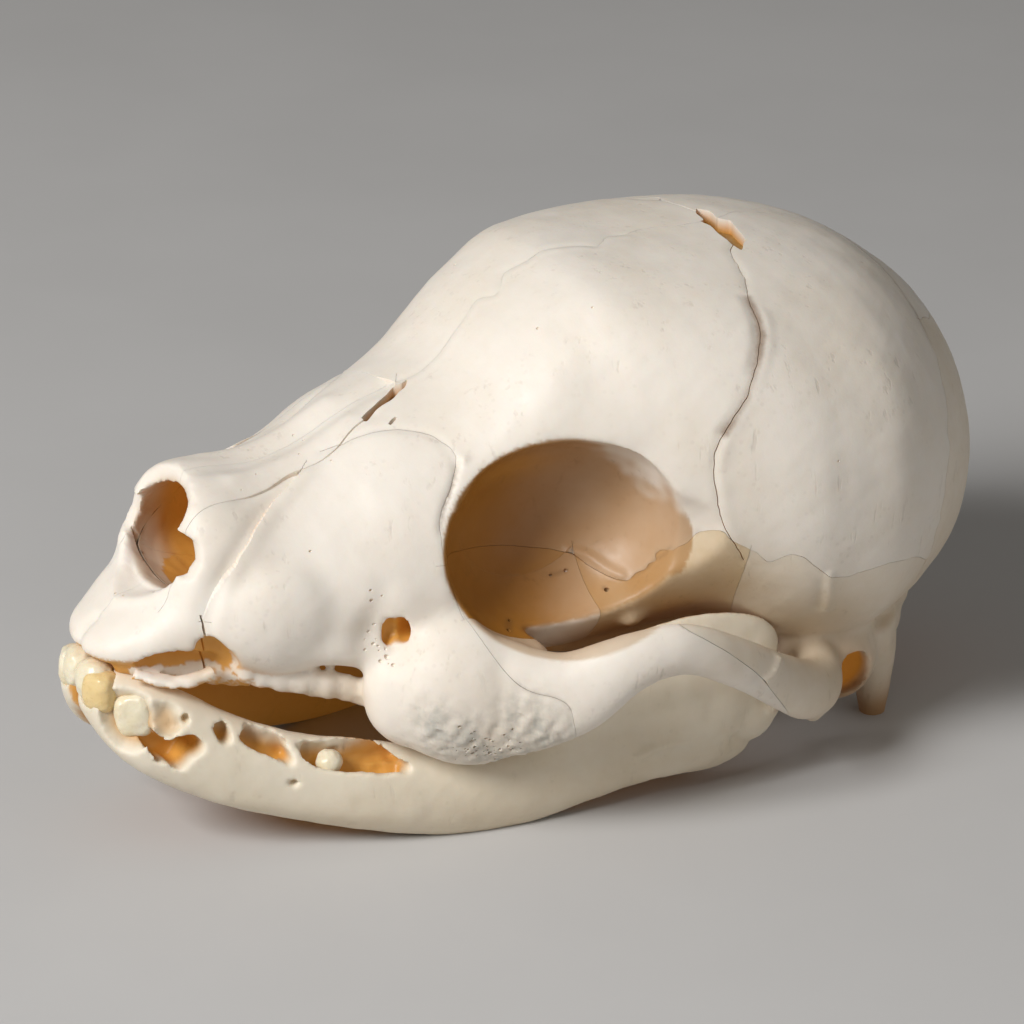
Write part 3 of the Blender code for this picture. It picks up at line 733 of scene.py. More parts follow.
    def swellings(self) -> list[bpy.types.Object]:
        """Makes the swellings of the left side that grow out of the head."""
        return [
            ellipsoid("tooth_swelling", (7.2, -22.5, 18.0), (3.2, 6.0, 4.6), (0, 8, -12)),
            ellipsoid("cheek", (13.0, -10.5, 12.2), (4.2, 6.6, 5.9), (-10, -12, -18)),
            ellipsoid("cheek_front", (11.5, -14.0, 12.0), (2.8, 4.0, 4.4), (0, -8, -16)),
            ellipsoid("ear_capsule", (10.8, 21.8, 7.2), (3.6, 3.7, 4.0)),
            ellipsoid("pterygoid", (4.6, 5.4, 10.6), (0.9, 3.6, 2.0), (-6, 0, 4)),
            ellipsoid("sphenoid_wing", (6.0, 2.6, 11.4), (2.2, 6.4, 1.9), (0, 0, -18)),
        ]

    def outworks(self) -> list[bpy.types.Object]:
        """Makes the arch, the processes and the tooth margin of the left side."""
        return [
            bar("arch", self.arch, self.arch_lean),
            bar("rear_foot", self.rear_foot),
            ellipsoid("behind_joint", (14.9, 17.6, 6.4), (2.4, 1.2, 2.5), (0, 0, -20)),
            ellipsoid("condyle", (5.2, 28.8, 6.2), (2.2, 2.5, 3.1), (-25, 0, -20)),
            ellipsoid("condyle_root", (5.4, 28.8, 8.8), (2.6, 3.2, 2.6)),
            ellipsoid("socket_boss", (12.1, 3.4, 14.7), (1.1, 1.1, 1.1)),
        ]

    def tooth_margin(self) -> list[bpy.types.Object]:
        """Makes the crumbled edge of bone along the upper milk teeth of the left side."""
        bars = [bar(f"margin_{i}", stops, samples=10) for i, stops in enumerate(self.margins)]
        peg = ellipsoid("margin_peg", (6.8, -25.3, 14.2), (0.8, 0.9, 1.1), fineness=4)
        return [roughened(piece, 1.1, 0.17, 50 + i) for i, piece in enumerate(bars + [peg])]

    def well_wall(self) -> bpy.types.Object:
        """Makes the inner wall of the wells of the left front milk teeth."""
        return roughened(bar("well_wall", self.inner_wall, samples=10), 1.4, 0.12, 56)

    def vault_space(self) -> bpy.types.Object:
        """Makes the space for the brain, kept clear of the eye sockets."""
        rings = []
        for y, roof, half, middle, floor, upper, lower in self.rows():
            if self.cavity[0] <= y <= self.cavity[1]:
                inner = (y, roof - self.vault_wall, half - self.vault_wall, middle, floor + self.vault_floor)
                rings.append(section_ring((*inner, upper, lower), 96))
        space = rolled_skin("vault_space", rings)
        for hollow in both_sides(self.socket.hollows(self.socket_wall)):
            cut(space, hollow)
        return space

    def nose_passage(self) -> bpy.types.Object:
        """Makes the passage from the nostrils back."""
        return rolled_skin("nose_passage", [section_ring((*row, 2.2, 2.4), 72) for row in smooth_table(self.passage, 0.5)])

    def openings(self) -> list[bpy.types.Object]:
        """Makes every space and hole that goes through the wall."""
        left = [window.cutter(f"window_{i}", 60 + i) for i, window in enumerate(self.windows)]
        left += [
            ellipsoid("infraorbital_canal", (11.6, -15.2, 17.0), (3.2, 0.7, 1.1), (0, 0, -50), 4),
            ellipsoid("ear_opening", (14.0, 22.0, 6.4), (3.2, 1.6, 1.9), (0, 0, 10)),
        ]
        middle = [
            ellipsoid("foramen_magnum", (0, 34.0, 9.0), (4.8, 6.0, 4.6), (20, 0, 0)),
            ellipsoid("nose_notch", (0, -31.0, 27.5), (6.0, 4.1, 4.6)),
            ellipsoid("palate_vault", (0, -18.0, 11.6), (6.0, 15.0, 3.6)),
            ellipsoid("choana", (0, 1.0, 9.0), (3.4, 9.0, 2.6)),
        ]
        return both_sides(left) + middle + [self.nose_passage(), self.vault_space()]

    def skin(self) -> bpy.types.Object:
        """Makes the outer skin with its eye sockets, still solid inside."""
        core = fused("core", [self.head()] + both_sides(self.swellings()), VOXEL, SMOOTH_REACH)
        for hollow in both_sides(self.socket.hollows()):
            cut(core, hollow)
        return fused("skull", [core] + both_sides(self.outworks()), VOXEL, SMOOTH_REACH * 0.7)

    def shell(self, skin: bpy.types.Object, edges: list[bpy.types.Object]) -> bpy.types.Object:
        """Opens the solid skin and softens the new edges.

        Args:
            skin: The solid skin, which is used up.
            edges: The crumbled edges of both sides, which are used up.

        Returns:
            The hollow skull, trimmed at the floor.
        """
        for hollow in self.openings():
            cut(skin, hollow)
        shell = fused("shell", [skin] + edges + both_sides([self.well_wall()]), VOXEL, SMOOTH_REACH * 0.3)
        return cut(shell, slab("below_floor", (-50, -50, -10), (50, 50, 0)))


SUTURES = {
    "coronal": Suture(Aim.VAULT, 3, 7, (
        (-17.5, 9.8, 19.6), (-17.5, 8.9, 21.4), (-17.4, 8.3, 23.2), (-17.6, 7.9, 26.5), (-17.6, 9.0, 31.0), (-15.6, 11.4, 34.6),
        (-12.0, 13.9, 37.6), (-6.9, 15.8, 39.1), (-5.0, 15.6, 39.5), (-2.2, 15.9, 39.8), (0.5, 16.2, 39.8),
        (3.0, 16.2, 39.6), (5.4, 15.6, 39.5), (6.8, 14.5, 39.2), (8.8, 14.1, 38.8), (10.3, 13.8, 38.4),
        (12.0, 13.0, 37.6), (13.5, 12.8, 36.8), (15.0, 12.4, 35.9), (16.2, 11.4, 34.6), (16.7, 10.5, 33.2),
        (17.1, 9.9, 32.2), (17.3, 8.9, 31.0), (17.4, 8.1, 30.0), (17.4, 7.3, 28.6), (17.3, 7.2, 27.0),
        (17.5, 7.4, 25.3), (17.4, 7.8, 23.4), (17.5, 8.8, 21.4), (17.5, 9.8, 19.6)), wander=0.1, gap=0.07),
    "lambdoid": Suture(Aim.VAULT, 4, 7, (
        (-15.4, 25.8, 15.2), (-16.0, 26.5, 19.5), (-15.6, 27.4, 24.0), (-13.2, 28.6, 29.0), (-9.5, 29.2, 33.0),
        (-5.0, 28.6, 35.6), (0.0, 27.6, 36.9), (5.0, 28.6, 35.6), (9.5, 29.2, 33.0), (13.2, 28.6, 29.0),
        (15.6, 27.4, 24.0), (16.0, 26.5, 19.5), (15.4, 25.8, 15.2)), wander=0.4, gap=0.05),
    "interparietal": Suture(Aim.VAULT, 3, 7, (
        (-10.2, 28.8, 32.6), (-7.6, 31.0, 31.6), (-4.0, 33.0, 30.6), (0.0, 33.8, 30.2), (4.0, 33.0, 30.6),
        (7.6, 31.0, 31.6), (10.2, 28.8, 32.6)), wander=0.25),
    "basal": Suture(Aim.VAULT, 3, 8, ((-8.2, 16.3, 8.6), (0.0, 16.3, 8.0), (8.2, 16.3, 8.6))),
    "palatine_rear": Suture(Aim.ACROSS, 0, 27.2, ((13.6, 0.6, 7.0), (13.6, 0.6, 13.0), (13.6, 0.8, 19.4))),
    "palatine_front": Suture(Aim.ACROSS, 0, 16.4, (
        (8.2, -9.2, 7.0), (8.2, -9.2, 14.0), (8.2, -9.6, 18.0), (8.2, -11.2, 22.6)), gap=0.1),
    "premaxilla_floor": Suture(Aim.ACROSS, 0, 17, ((8.5, -28.7, 19.2), (8.5, -28.3, 17.0), (8.5, -27.4, 12.0)), gap=0.15),
    "premaxilla_step": Suture(Aim.ACROSS, 0, 17, ((8.5, -28.85, 18.7), (8.5, -28.45, 18.7), (8.5, -28.05, 18.7)), gap=0.05),
    "premaxilla_shelf": Suture(Aim.ACROSS, 0, 9.8, ((4.9, -29.0, 22.4), (4.9, -28.7, 20.0), (4.9, -28.5, 18.0)), gap=0.15),
    "nasal_left": Suture(Aim.DOWN, 12, 8, (
        (4.5, -31.0, 24.0), (4.5, -27.6, 25.0), (4.4, -24.5, 26.0), (4.0, -22.0, 26.6), (3.5, -20.0, 27.0),
        (3.8, -18.0, 27.6), (3.7, -16.6, 28.2), (3.1, -14.6, 29.4), (2.8, -13.0, 30.2), (2.1, -11.6, 30.9),
        (1.2, -10.4, 31.4), (-0.3, -9.4, 32.0))),
    "nasal_right": Suture(Aim.DOWN, 12, 8, (
        (-4.5, -31.0, 24.0), (-4.5, -26.0, 26.0), (-4.6, -20.0, 27.0), (-5.2, -15.5, 28.0), (-5.6, -12.6, 30.0),
        (-5.2, -11.0, 31.0), (-3.2, -10.6, 31.0), (-1.4, -10.5, 31.0), (0.6, -10.0, 32.0))),
}
SIDE_SUTURES = {
    "squamosal": Suture(Aim.ACROSS, 5, 17.5, (
        (15.5, 26.6, 15.8), (16.8, 24.4, 17.2), (18.3, 23.0, 17.7), (18.3, 21.6, 17.9), (18.3, 20.2, 17.9),
        (18.0, 18.7, 17.7), (18.0, 17.6, 17.5), (18.0, 16.1, 17.9), (18.0, 14.9, 18.8), (18.0, 13.8, 19.8),
        (18.0, 13.0, 20.1), (17.6, 12.2, 19.8), (17.4, 11.4, 19.5), (17.4, 10.5, 20.4), (17.2, 9.8, 20.9),
        (17.0, 8.6, 21.6), (16.8, 7.9, 22.4), (16.0, 7.0, 22.0), (15.2, 6.4, 21.3), (14.5, 5.8, 20.7),
        (14.0, 5.1, 19.8), (13.2, 4.7, 19.0), (12.9, 4.2, 18.4), (12.4, 3.6, 17.8), (11.9, 2.9, 17.4),
        (11.1, 2.2, 17.4), (10.2, 1.4, 17.9), (9.4, 0.4, 18.6), (10.6, -2.4, 19.2), (11.5, -5.0, 19.8),
        (11.8, -8.5, 20.6), (12.0, -11.0, 21.5), (12.0, -12.6, 21.7)), wander=0.06),
    "temporal": Suture(Aim.VAULT, 4, 10, (
        (15.6, 26.3, 16.4), (14.2, 24.9, 12.0), (12.5, 23.9, 8.0), (10.0, 23.4, 5.4), (7.0, 21.8, 6.4),
        (6.3, 19.0, 7.4), (7.2, 16.3, 8.4), (9.5, 14.0, 9.6), (12.0, 12.0, 12.5), (14.5, 10.6, 16.5),
        (17.4, 10.2, 21.2))),
    "frontomaxillary": Suture(Aim.NOSE, 3, 8, (
        (3.2, -17.3, 28.4), (4.1, -14.6, 29.3), (5.0, -12.8, 29.8), (6.2, -11.3, 29.8), (7.4, -10.3, 29.6),
        (8.6, -9.6, 28.7), (9.6, -9.7, 28.0), (10.4, -10.6, 26.7), (11.0, -11.6, 25.2), (11.4, -12.0, 23.6),
        (11.2, -11.6, 20.8), (10.6, -11.0, 18.8)), wander=0.08),
    "premaxilla": Suture(Aim.NOSE, 3, 5, (
        (3.4, -18.4, 28.2), (4.2, -20.0, 26.9), (5.2, -22.2, 25.8), (6.0, -24.2, 24.4), (6.7, -25.9, 22.8),
        (7.5, -27.5, 21.0), (7.8, -28.4, 19.0), (7.8, -28.6, 17.4), (7.6, -28.2, 15.6)), wander=0.06),
    "zygomatic": Suture(Aim.ACROSS, 10, 0.5, (
        (13.4, -12.8, 22.8), (13.4, -11.2, 19.2), (13.4, -10.7, 17.2), (13.4, -9.9, 15.4), (13.4, -9.0, 14.0),
        (13.4, -8.0, 13.3), (13.4, -6.6, 12.9), (13.4, -5.8, 12.2), (13.4, -5.4, 10.6), (13.4, -4.4, 7.6))),
    "arch_joint": Suture(Aim.ACROSS, 8, 2, (
        (18.0, 1.6, 18.2), (18.0, 3.0, 17.0), (18.0, 4.5, 16.0), (18.0, 6.6, 14.4), (18.0, 9.0, 12.2),
        (18.0, 10.6, 10.2), (18.0, 13.0, 7.2), (18.0, 13.4, 5.6))),
}
MIDLINE_PLATES = {
    "roof_front": ((-34, 23), (-34, 46), (-10.4, 46), (-10.4, 24), (-10.4, 23)),
    "floor": ((-42, 9), (-42, 22), (-10.6, 22), (-9.4, 17.5), (-9.0, 14), (-9.0, 9)),
}
METOPIC_FRONT = Suture(Aim.DOWN, 4, 22, (
    (0.0, -10.9, 31.0), (0.9, -9.4, 31.7), (1.1, -8.2, 32.2), (1.1, -7.0, 33.0), (0.8, -5.6, 34.1), (0.5, -4.4, 35.1),
    (0.0, -3.2, 36.0), (0.0, -2.7, 36.3), (1.0, -2.1, 36.9), (1.0, -1.5, 37.2), (0.0, -0.9, 37.7),
    (-0.4, -0.3, 38.0), (-0.1, 0.5, 38.5), (0.2, 1.3, 38.9), (0.0, 2.5, 39.2), (0.4, 3.4, 39.5)),
    wander=0.08, floor=17.9)
METOPIC_REAR = Suture(Aim.DOWN, 4, 7, (
    (0.2, 1.3, 38.9), (0.0, 2.5, 39.2), (0.4, 3.4, 39.5), (1.0, 4.7, 39.6), (1.9, 5.9, 39.6), (1.6, 6.6, 39.7), (0.6, 7.8, 39.7), (0.8, 8.9, 39.7),
    (0.5, 10.3, 39.8), (0.7, 11.5, 39.8), (1.1, 12.9, 39.8), (1.3, 14.4, 39.8), (1.2, 15.6, 39.8),
    (0.9, 17.0, 39.8), (0.2, 18.6, 39.7), (0.0, 21.0, 39.4), (-0.2, 24.0, 38.6), (0.0, 27.9, 37.4),
    (0.0, 29.4, 36.6)), wander=0.1)
SIDE_PLATES = {
    "palatine_side": (8.0, ((-9.5, 7), (-9.5, 14), (-9.9, 18), (-11.7, 22.4), (0.9, 19.6), (0.9, 7))),
    "zygomatic_side": (13.4, (
        (-13.2, 22.8), (-11.6, 19.2), (-11.1, 17.2), (-10.3, 15.4), (-9.4, 14.0), (-8.3, 13.0), (-6.9, 12.6),
        (-6.2, 12.0), (-5.8, 10.5), (-4.8, 7.4), (-1.5, 7.4), (-1.5, 22.8))),
    "premaxilla_side": (4.8, ((-28.65, 18.4), (-29.15, 22.3), (-26.6, 22.3), (-27.4, 21.3), (-28.1, 20.0), (-28.1, 18.4))),
}
FONTANELLE = (
    (-1.5, 16.5), (-1.1, 16.8), (-0.5, 17.1), (0.9, 16.9), (1.5, 17.2), (1.9, 17.5), (3.0, 17.2), (5.2, 16.8),
    (5.8, 16.3), (6.7, 15.6), (5.9, 15.4), (3.8, 15.3), (2.3, 15.5), (1.2, 15.3), (0.9, 15.7), (-0.5, 15.9),
)
BONE_SEEDS = {
    "nasal_left": (2.2, -20.0, 27.4),
    "nasal_right": (-2.2, -20.0, 27.4),
    "premaxilla_left": (3.0, -33.0, 16.5),
    "premaxilla_right": (-3.0, -33.0, 16.5),
    "maxilla_left": (10.5, -18.5, 18.0),
    "maxilla_right": (-10.5, -18.5, 18.0),
    "zygomatic_left": (19.9, -1.0, 15.0),
    "zygomatic_right": (-19.9, -1.0, 15.0),
    "frontal_left": (9.0, 3.0, 38.0),
    "frontal_right": (-9.0, 3.0, 38.0),
    "parietal_left": (15.0, 20.0, 35.0),
    "parietal_right": (-15.0, 20.0, 35.0),
    "interparietal": (0.0, 31.5, 34.0),
    "occipital": (0.0, 36.5, 22.0),
    "temporal_left": (17.0, 17.0, 14.5),
    "temporal_right": (-17.0, 17.0, 14.5),
    "sphenoid": (0.0, 8.0, 10.0),
    "palatine": (0.0, -4.0, 11.0),
}
SLOT_OF = {
    "nasal": "face_bone",
    "premaxilla": "face_bone",
    "maxilla": "face_bone",
    "zygomatic": "face_bone",
    "frontal": "vault_bone",
    "parietal": "vault_bone",
    "interparietal": "vault_bone",
    "occipital": "base_bone",
    "temporal": "base_bone",
    "sphenoid": "inner_bone",
    "palatine": "inner_bone",
    "mandible": "jaw_bone",
}


def thin_plate(name: str, middle: float, outline: Rows, gap: float = 0.02) -> bpy.types.Object:
    """Makes a thin upright plate of an outline of Y and Z, at a distance from the midline."""
    return prism(name, outline, 0, middle - gap / 2, middle + gap / 2)


def suture_cuts() -> list[bpy.types.Object]:
    """Makes every thin cut between the bones of the cranium."""
    cuts = [suture.blade(name) for name, suture in SUTURES.items()]
    side = [suture.blade(name) for name, suture in SIDE_SUTURES.items()]
    side += [thin_plate(name, middle, outline) for name, (middle, outline) in SIDE_PLATES.items()]
    cuts += [thin_plate(name, 0.0, outline) for name, outline in MIDLINE_PLATES.items()]
    cuts += [METOPIC_FRONT.blade("metopic_front"), METOPIC_REAR.blade("metopic_rear")]
    return cuts + both_sides(side)


def named_bones(pieces: list[bpy.types.Object]) -> dict[str, bpy.types.Object]:
    """Names each loose piece by the seed that lies nearest to it.

    Args:
        pieces: The loose pieces of the cranium.

    Returns:
        Each bone by its name.
    """
    clouds = []
    for piece in pieces:
        places = np.empty(len(piece.data.vertices) * 3)
        piece.data.vertices.foreach_get("co", places)
        clouds.append(places.reshape(-1, 3))
    bones = {}
    left = list(range(len(pieces)))
    for name, seed in BONE_SEEDS.items():
        pick = min(left, key=lambda i: np.linalg.norm(clouds[i] - seed, axis=1).min())
        left.remove(pick)
        bones[name] = pieces[pick]
        log.info("bone %s has %d vertices", name, len(clouds[pick]))
    for i in left:
        log.info("left over: %d vertices near %s", len(clouds[i]), clouds[i].mean(axis=0).round(1))
        removed(pieces[i])
    return bones


# Marks on the skin, left side, in millimetres

METOPIC_LINE = METOPIC_FRONT.points + METOPIC_REAR.points[2:8]
CORONAL_LEFT = SUTURES["coronal"].points[12:]
CORONAL_BROAD = SUTURES["coronal"].points[16:24]
INTERNASAL = (
    (0.6, -26.6, 26.8), (0.7, -23.7, 27.2), (0.2, -21.1, 27.6), (0.2, -18.8, 28.0), (0.2, -16.7, 28.8),
    (0.2, -14.8, 29.7), (0.2, -12.7, 30.5), (0.2, -10.9, 31.1),
)
FRONTOMAX = SIDE_SUTURES["frontomaxillary"].points
PREMAX = SIDE_SUTURES["premaxilla"].points
SQUAMOSAL = SIDE_SUTURES["squamosal"].points
ZYGOMATIC_LINE = (
    (12.2, -11.0, 18.8), (13.0, -10.8, 18.0), (14.4, -10.7, 17.2), (15.3, -10.4, 16.3), (15.8, -9.9, 15.4),
    (16.2, -9.0, 14.0), (17.4, -8.8, 13.9), (18.2, -8.1, 13.3), (18.8, -7.2, 13.1), (19.3, -6.4, 12.8),
    (19.7, -5.8, 12.1), (19.7, -5.6, 11.0), (19.6, -5.2, 10.3),
)
CHEEK_ROUGH = (
    (15.4, -14.4, 11.2), (15.6, -13.6, 9.3), (16.5, -12.8, 10.4), (15.7, -9.6, 7.6), (17.4, -9.2, 8.7),
    (17.9, -9.5, 11.0), (18.5, -8.3, 11.4), (18.8, -7.2, 9.8),
)
STROKES = (
    Stroke(INTERNASAL, 1.1, -0.35, ("nasal",), both=False),
    Stroke(((2.4, -24.0, 27.0), (2.2, -19.0, 28.0), (1.9, -14.5, 29.8)), 0.9, 0.2, ("nasal",)),
    Stroke(SUTURES["nasal_left"].points[1:9], 0.4, -0.15, ("maxilla", "premaxilla", "frontal")),
    Stroke(tuple((x + 0.25, y - 0.4, z - 0.1) for x, y, z in PREMAX), 0.75, -0.3, ("premaxilla",)),
    Stroke(tuple((x + 0.1, y + 0.6, z + 0.1) for x, y, z in PREMAX), 0.6, 0.16, ("maxilla",)),
    Stroke(FRONTOMAX[:7], 0.35, -0.1),
    Stroke(tuple((x, y + 0.15, z) for x, y, z in FRONTOMAX[6:11]), 0.28, -0.22),
    Stroke(((9.7, -9.0, 28.5), (9.6, -9.2, 27.5), (9.9, -9.5, 26.6), (10.4, -10.1, 25.9), (11.0, -10.6, 25.3)), 0.3, 0.2),
    Stroke(((9.9, -8.5, 28.0), (10.2, -9.1, 26.6), (10.9, -9.9, 25.4), (11.4, -10.4, 24.4)), 0.25, 0.16),
    Stroke(METOPIC_LINE, 0.35, -0.06, ("frontal",), both=False),
    Stroke(tuple((x + 0.5, y, z) for x, y, z in METOPIC_LINE), 0.45, 0.05, ("frontal_left",), both=False),
    Stroke(tuple((x - 0.2, y - 0.3, z) for x, y, z in CORONAL_BROAD), 0.35, -0.2, ("frontal",)),
    Stroke(CORONAL_LEFT, 0.3, -0.07),
    Stroke(tuple((x, y + 0.6, z + 0.1) for x, y, z in CORONAL_LEFT[5:]), 0.5, 0.12, ("parietal",)),
    Stroke(tuple((x, y + 0.1, z + 0.5) for x, y, z in SQUAMOSAL[:17]), 0.5, 0.16, ("parietal",)),
    Stroke(tuple((x, y, z - 0.3) for x, y, z in SQUAMOSAL[:17]), 0.45, -0.14, ("temporal",)),
    Stroke(SQUAMOSAL[17:26], 0.3, -0.08),
    Stroke(((7.8, 0.5, 18.7), (9.0, 1.5, 18.5), (9.8, 2.0, 18.1), (10.7, 2.5, 17.7), (11.6, 2.9, 17.6)), 0.35, 0.26),
    Stroke(((19.3, 16.1, 17.9), (18.8, 16.4, 16.8), (18.1, 16.8, 15.4), (17.3, 17.1, 14.1)), 0.4, 0.2),
    Stroke(((18.6, 15.7, 17.4), (18.2, 16.0, 16.2), (17.4, 16.3, 14.8)), 0.4, -0.14),
    Stroke(((14.3, 26.0, 10.0), (11.3, 26.0, 6.4), (8.2, 26.0, 3.1)), 0.5, 0.22, ("occipital",)),
    Stroke(((19.9, 11.5, 12.3), (20.6, 10.8, 12.0), (20.9, 10.3, 11.7), (21.2, 9.6, 11.5)), 0.35, 0.25, ("temporal",)),
    Stroke(((11.4, -17.4, 17.0), (11.7, -16.0, 16.4)), 1.6, -0.6, ("maxilla",)),
    Stroke(((11.6, -16.6, 20.4), (11.4, -17.0, 18.6), (11.2, -17.8, 15.6)), 1.0, -0.2, ("maxilla",)),
    Stroke(ZYGOMATIC_LINE[5:], 0.25, -0.08),
    Stroke(((13.6, 1.5, 26.0), (14.6, 3.2, 30.0), (13.0, 1.0, 33.6)), 2.4, -0.3, ("frontal",)),
    Stroke(((12.0, -4.0, 31.4), (10.0, -2.0, 34.0)), 2.2, 0.25, ("frontal",)),
    Stroke(((-2.5, -30.2, 19.6), (0.0, -30.8, 19.5), (2.5, -30.0, 20.2), (4.2, -29.2, 21.0)), 0.9, -0.3, ("premaxilla",)),
    Stroke(((0.4, -32.3, 18.5), (2.1, -31.4, 19.2), (3.4, -30.3, 20.1), (5.0, -29.6, 20.9)), 0.6, 0.2, ("premaxilla",)),
    Stroke(((-0.2, -34.0, 17.3), (-0.2, -34.5, 16.9), (-0.1, -35.0, 16.3), (-0.1, -35.1, 15.6)), 0.5, -0.3, ("premaxilla",), False),
    Stroke(((15.4, 2.5, 4.4), (15.4, 4.2, 5.1), (15.4, 6.8, 5.1), (15.2, 10.5, 5.2)), 0.45, 0.3, ("mandible",)),
    Stroke(((14.6, 0.0, 6.6), (15.2, 4.0, 7.6), (15.6, 8.0, 7.4)), 1.5, -0.3, ("mandible",)),
    Stroke(((14.8, 0.0, 10.4), (15.4, 4.0, 13.0), (15.8, 8.0, 13.6)), 0.5, 0.15, ("mandible",)),
    Stroke(((8.6, -28.0, 4.6), (10.6, -22.0, 3.4), (12.0, -15.0, 2.6)), 1.2, 0.15, ("mandible",)),
)
# Dark lines along the sutures, and painted shade round holes and in the ear recess.
STAINS_AND_SHADE = (
    Stroke(CORONAL_BROAD, 0.42, 0.95),
    Stroke(CORONAL_LEFT, 0.22, 0.3),
    Stroke(METOPIC_LINE, 0.16, 0.22, both=False),
    Stroke(FRONTOMAX[:7], 0.2, 0.2),
    Stroke(tuple((x, y + 0.15, z) for x, y, z in FRONTOMAX[6:11]), 0.18, 0.85),
    Stroke(PREMAX[3:], 0.18, 0.25),
    Stroke(SQUAMOSAL[:17], 0.2, 0.25),
    Stroke(SQUAMOSAL[17:26], 0.22, 0.4),
    Stroke(ZYGOMATIC_LINE[5:11], 0.18, 0.4),
    Stroke(SUTURES["nasal_left"].points[1:9], 0.18, 0.3),
    Stroke(SUTURES["lambdoid"].points, 0.35, 0.5, both=False),
    Stroke(SUTURES["interparietal"].points, 0.3, 0.4, both=False),
    Stroke(((12.4, -6.9, 15.7), (11.3, -6.2, 15.8)), 0.4, 0.7),
    Stroke(((8.8, -0.2, 17.6), (8.5, -1.3, 17.3)), 0.25, 0.6),
    Stroke(((11.2, 1.7, 16.7), (11.3, 2.0, 16.2)), 0.2, 0.9),
    Stroke(((13.0, 21.2, 5.4), (12.4, 22.4, 5.4)), 1.4, 0.9),
)
PITS = (
    (11.3, -17.5, 17.0, 0.15), (11.4, -17.1, 17.6, 0.15), (11.4, -17.2, 16.0, 0.17), (11.2, -17.8, 15.6, 0.14),
    (11.5, -16.9, 14.9, 0.15), (12.2, -16.2, 14.8, 0.18), (11.9, -16.6, 15.3, 0.2), (0.5, -17.5, 28.5, 0.12),
    (2.3, -18.6, 27.9, 0.09), (11.1, -17.3, 20.4, 0.13), (11.3, -16.5, 19.9, 0.1), (10.9, -17.2, 19.6, 0.16),
    (8.3, -20.7, 23.1, 0.12), (4.3, -17.0, 27.9, 0.09), (12.5, -6.9, 15.7, 0.2), (11.3, -6.2, 15.8, 0.16),
    (8.8, -0.2, 17.6, 0.18), (8.5, -1.3, 17.3, 0.14), (2.6, -22.2, 27.1, 0.09), (3.6, -23.9, 26.5, 0.09),
    (-0.3, -29.9, 19.6, 0.2), (-2.9, -29.2, 19.9, 0.14), (0.5, -31.9, 18.9, 0.12), (8.8, 1.9, 37.8, 0.1),
    (7.0, -1.6, 36.2, 0.12), (20.0, 16.1, 27.2, 0.1), (11.3, 2.0, 16.3, 0.22), (15.9, 7.5, 6.5, 0.2),
)
# Amber patches of painted shade in recesses: round the ear, at the rear foot, under the eye socket and in the incisor
# wells.
AMBER_SHADE_SPOTS = (
    Spot((13.0, 21.5, 6.0), (3.4, 2.6, 3.0), 0.75),
    Spot((8.6, 27.2, 0.6), (2.4, 2.4, 3.2), 0.85),
    Spot((10.5, 2.0, 13.6), (4.0, 6.5, 3.6), 0.45),
    Spot((13.5, 5.5, 16.0), (4.0, 6.0, 3.6), 0.4),
    Spot((11.0, -6.5, 14.5), (3.0, 3.2, 3.0), 0.7),
    Spot((5.0, -30.0, 15.6), (2.6, 3.2, 0.9), 0.5),
)
# Tan patches: warmer bone at the temple, the base and the lower face, partly painted shade where they lie low under the
# arch and round the ear.
TAN_SPOTS = (
    Spot((15.8, 14.5, 12.5), (4.5, 7.5, 5.0), 0.7),
    Spot((12.5, 5.0, 15.5), (4.5, 6.5, 4.5), 0.85),
    Spot((15.0, 10.0, 17.0), (4.0, 6.5, 3.6), 0.75),
    Spot((13.0, 18.0, 8.0), (7.0, 8.0, 5.0), 0.6),
    Spot((12.0, 27.0, 13.0), (9.0, 9.0, 7.0), 0.35),
    Spot((10.0, 30.0, 10.0), (12.0, 10.0, 8.0), 0.4),
    Spot((17.0, -9.5, 9.5), (4.5, 6.0, 4.0), 0.35),
    Spot((6.5, -27.6, 15.4), (2.0, 2.6, 1.8), 0.8),
    Spot((8.6, -18.0, 11.4), (2.5, 9.0, 1.6), 0.6),
    Spot((20.8, 6.0, 13.8), (2.0, 5.0, 2.0), 0.35),
)
CREAM_SPOT = Spot((12.4, 3.4, 14.8), (1.3, 1.3, 1.3), 1.0)


@dataclass
class Skin:
    """The unbroken outer skin of a part, which tells depth and direction."""

    tree: BVHTree
    side: float = 1.0

    @classmethod
    def of(cls, *things: bpy.types.Object) -> "Skin":
        """Reads the skin of solids that have no openings yet."""
        shape = bmesh.new()
        for thing in things:
            shape.from_mesh(thing.data)
        tree = BVHTree.FromBMesh(shape)
        shape.free()
        return cls(tree)

    def read(self, places: np.ndarray) -> tuple[np.ndarray, np.ndarray]:
        """Finds how deep each place lies and which way is out.

        Args:
            places: Points in or on the part.

        Returns:
            The depths, and one unit vector for each point.
        """
        depths = np.empty(len(places))
        ways = np.empty((len(places), 3))
        for i, place in enumerate(places * (self.side, 1, 1)):
            _, way, _, depth = self.tree.find_nearest(place)
            depths[i] = depth
            ways[i] = way
        return depths, ways * (self.side, 1, 1)

    def pits(self, spots: Iterable[Sequence[float]]) -> bpy.types.Object:
        """Makes one cutter of small hollows that stand on the skin.

        Args:
            spots: X, Y, Z and radius of each pit.

        Returns:
            The cutter.
        """
        shape = bmesh.new()
        kept: list[tuple[Vector, float]] = []
        for x, y, z, radius in spots:
            point, way, _, _ = self.tree.find_nearest(Vector((x, y, z)))
            if any((point - other).length < (radius + size) * 1.15 for other, size in kept):
                continue
            kept.append((point, radius))
            ball = bmesh.ops.create_icosphere(shape, subdivisions=2, radius=1)["verts"]
            turn = way.to_track_quat("Z", "Y").to_matrix().to_4x4()
            place = Matrix.Translation(point) @ turn @ Matrix.Diagonal((radius, radius * 0.85, radius * 1.7, 1))
            bmesh.ops.transform(shape, matrix=place, verts=ball)
        return object_from("pits", shape, turn_out=False)


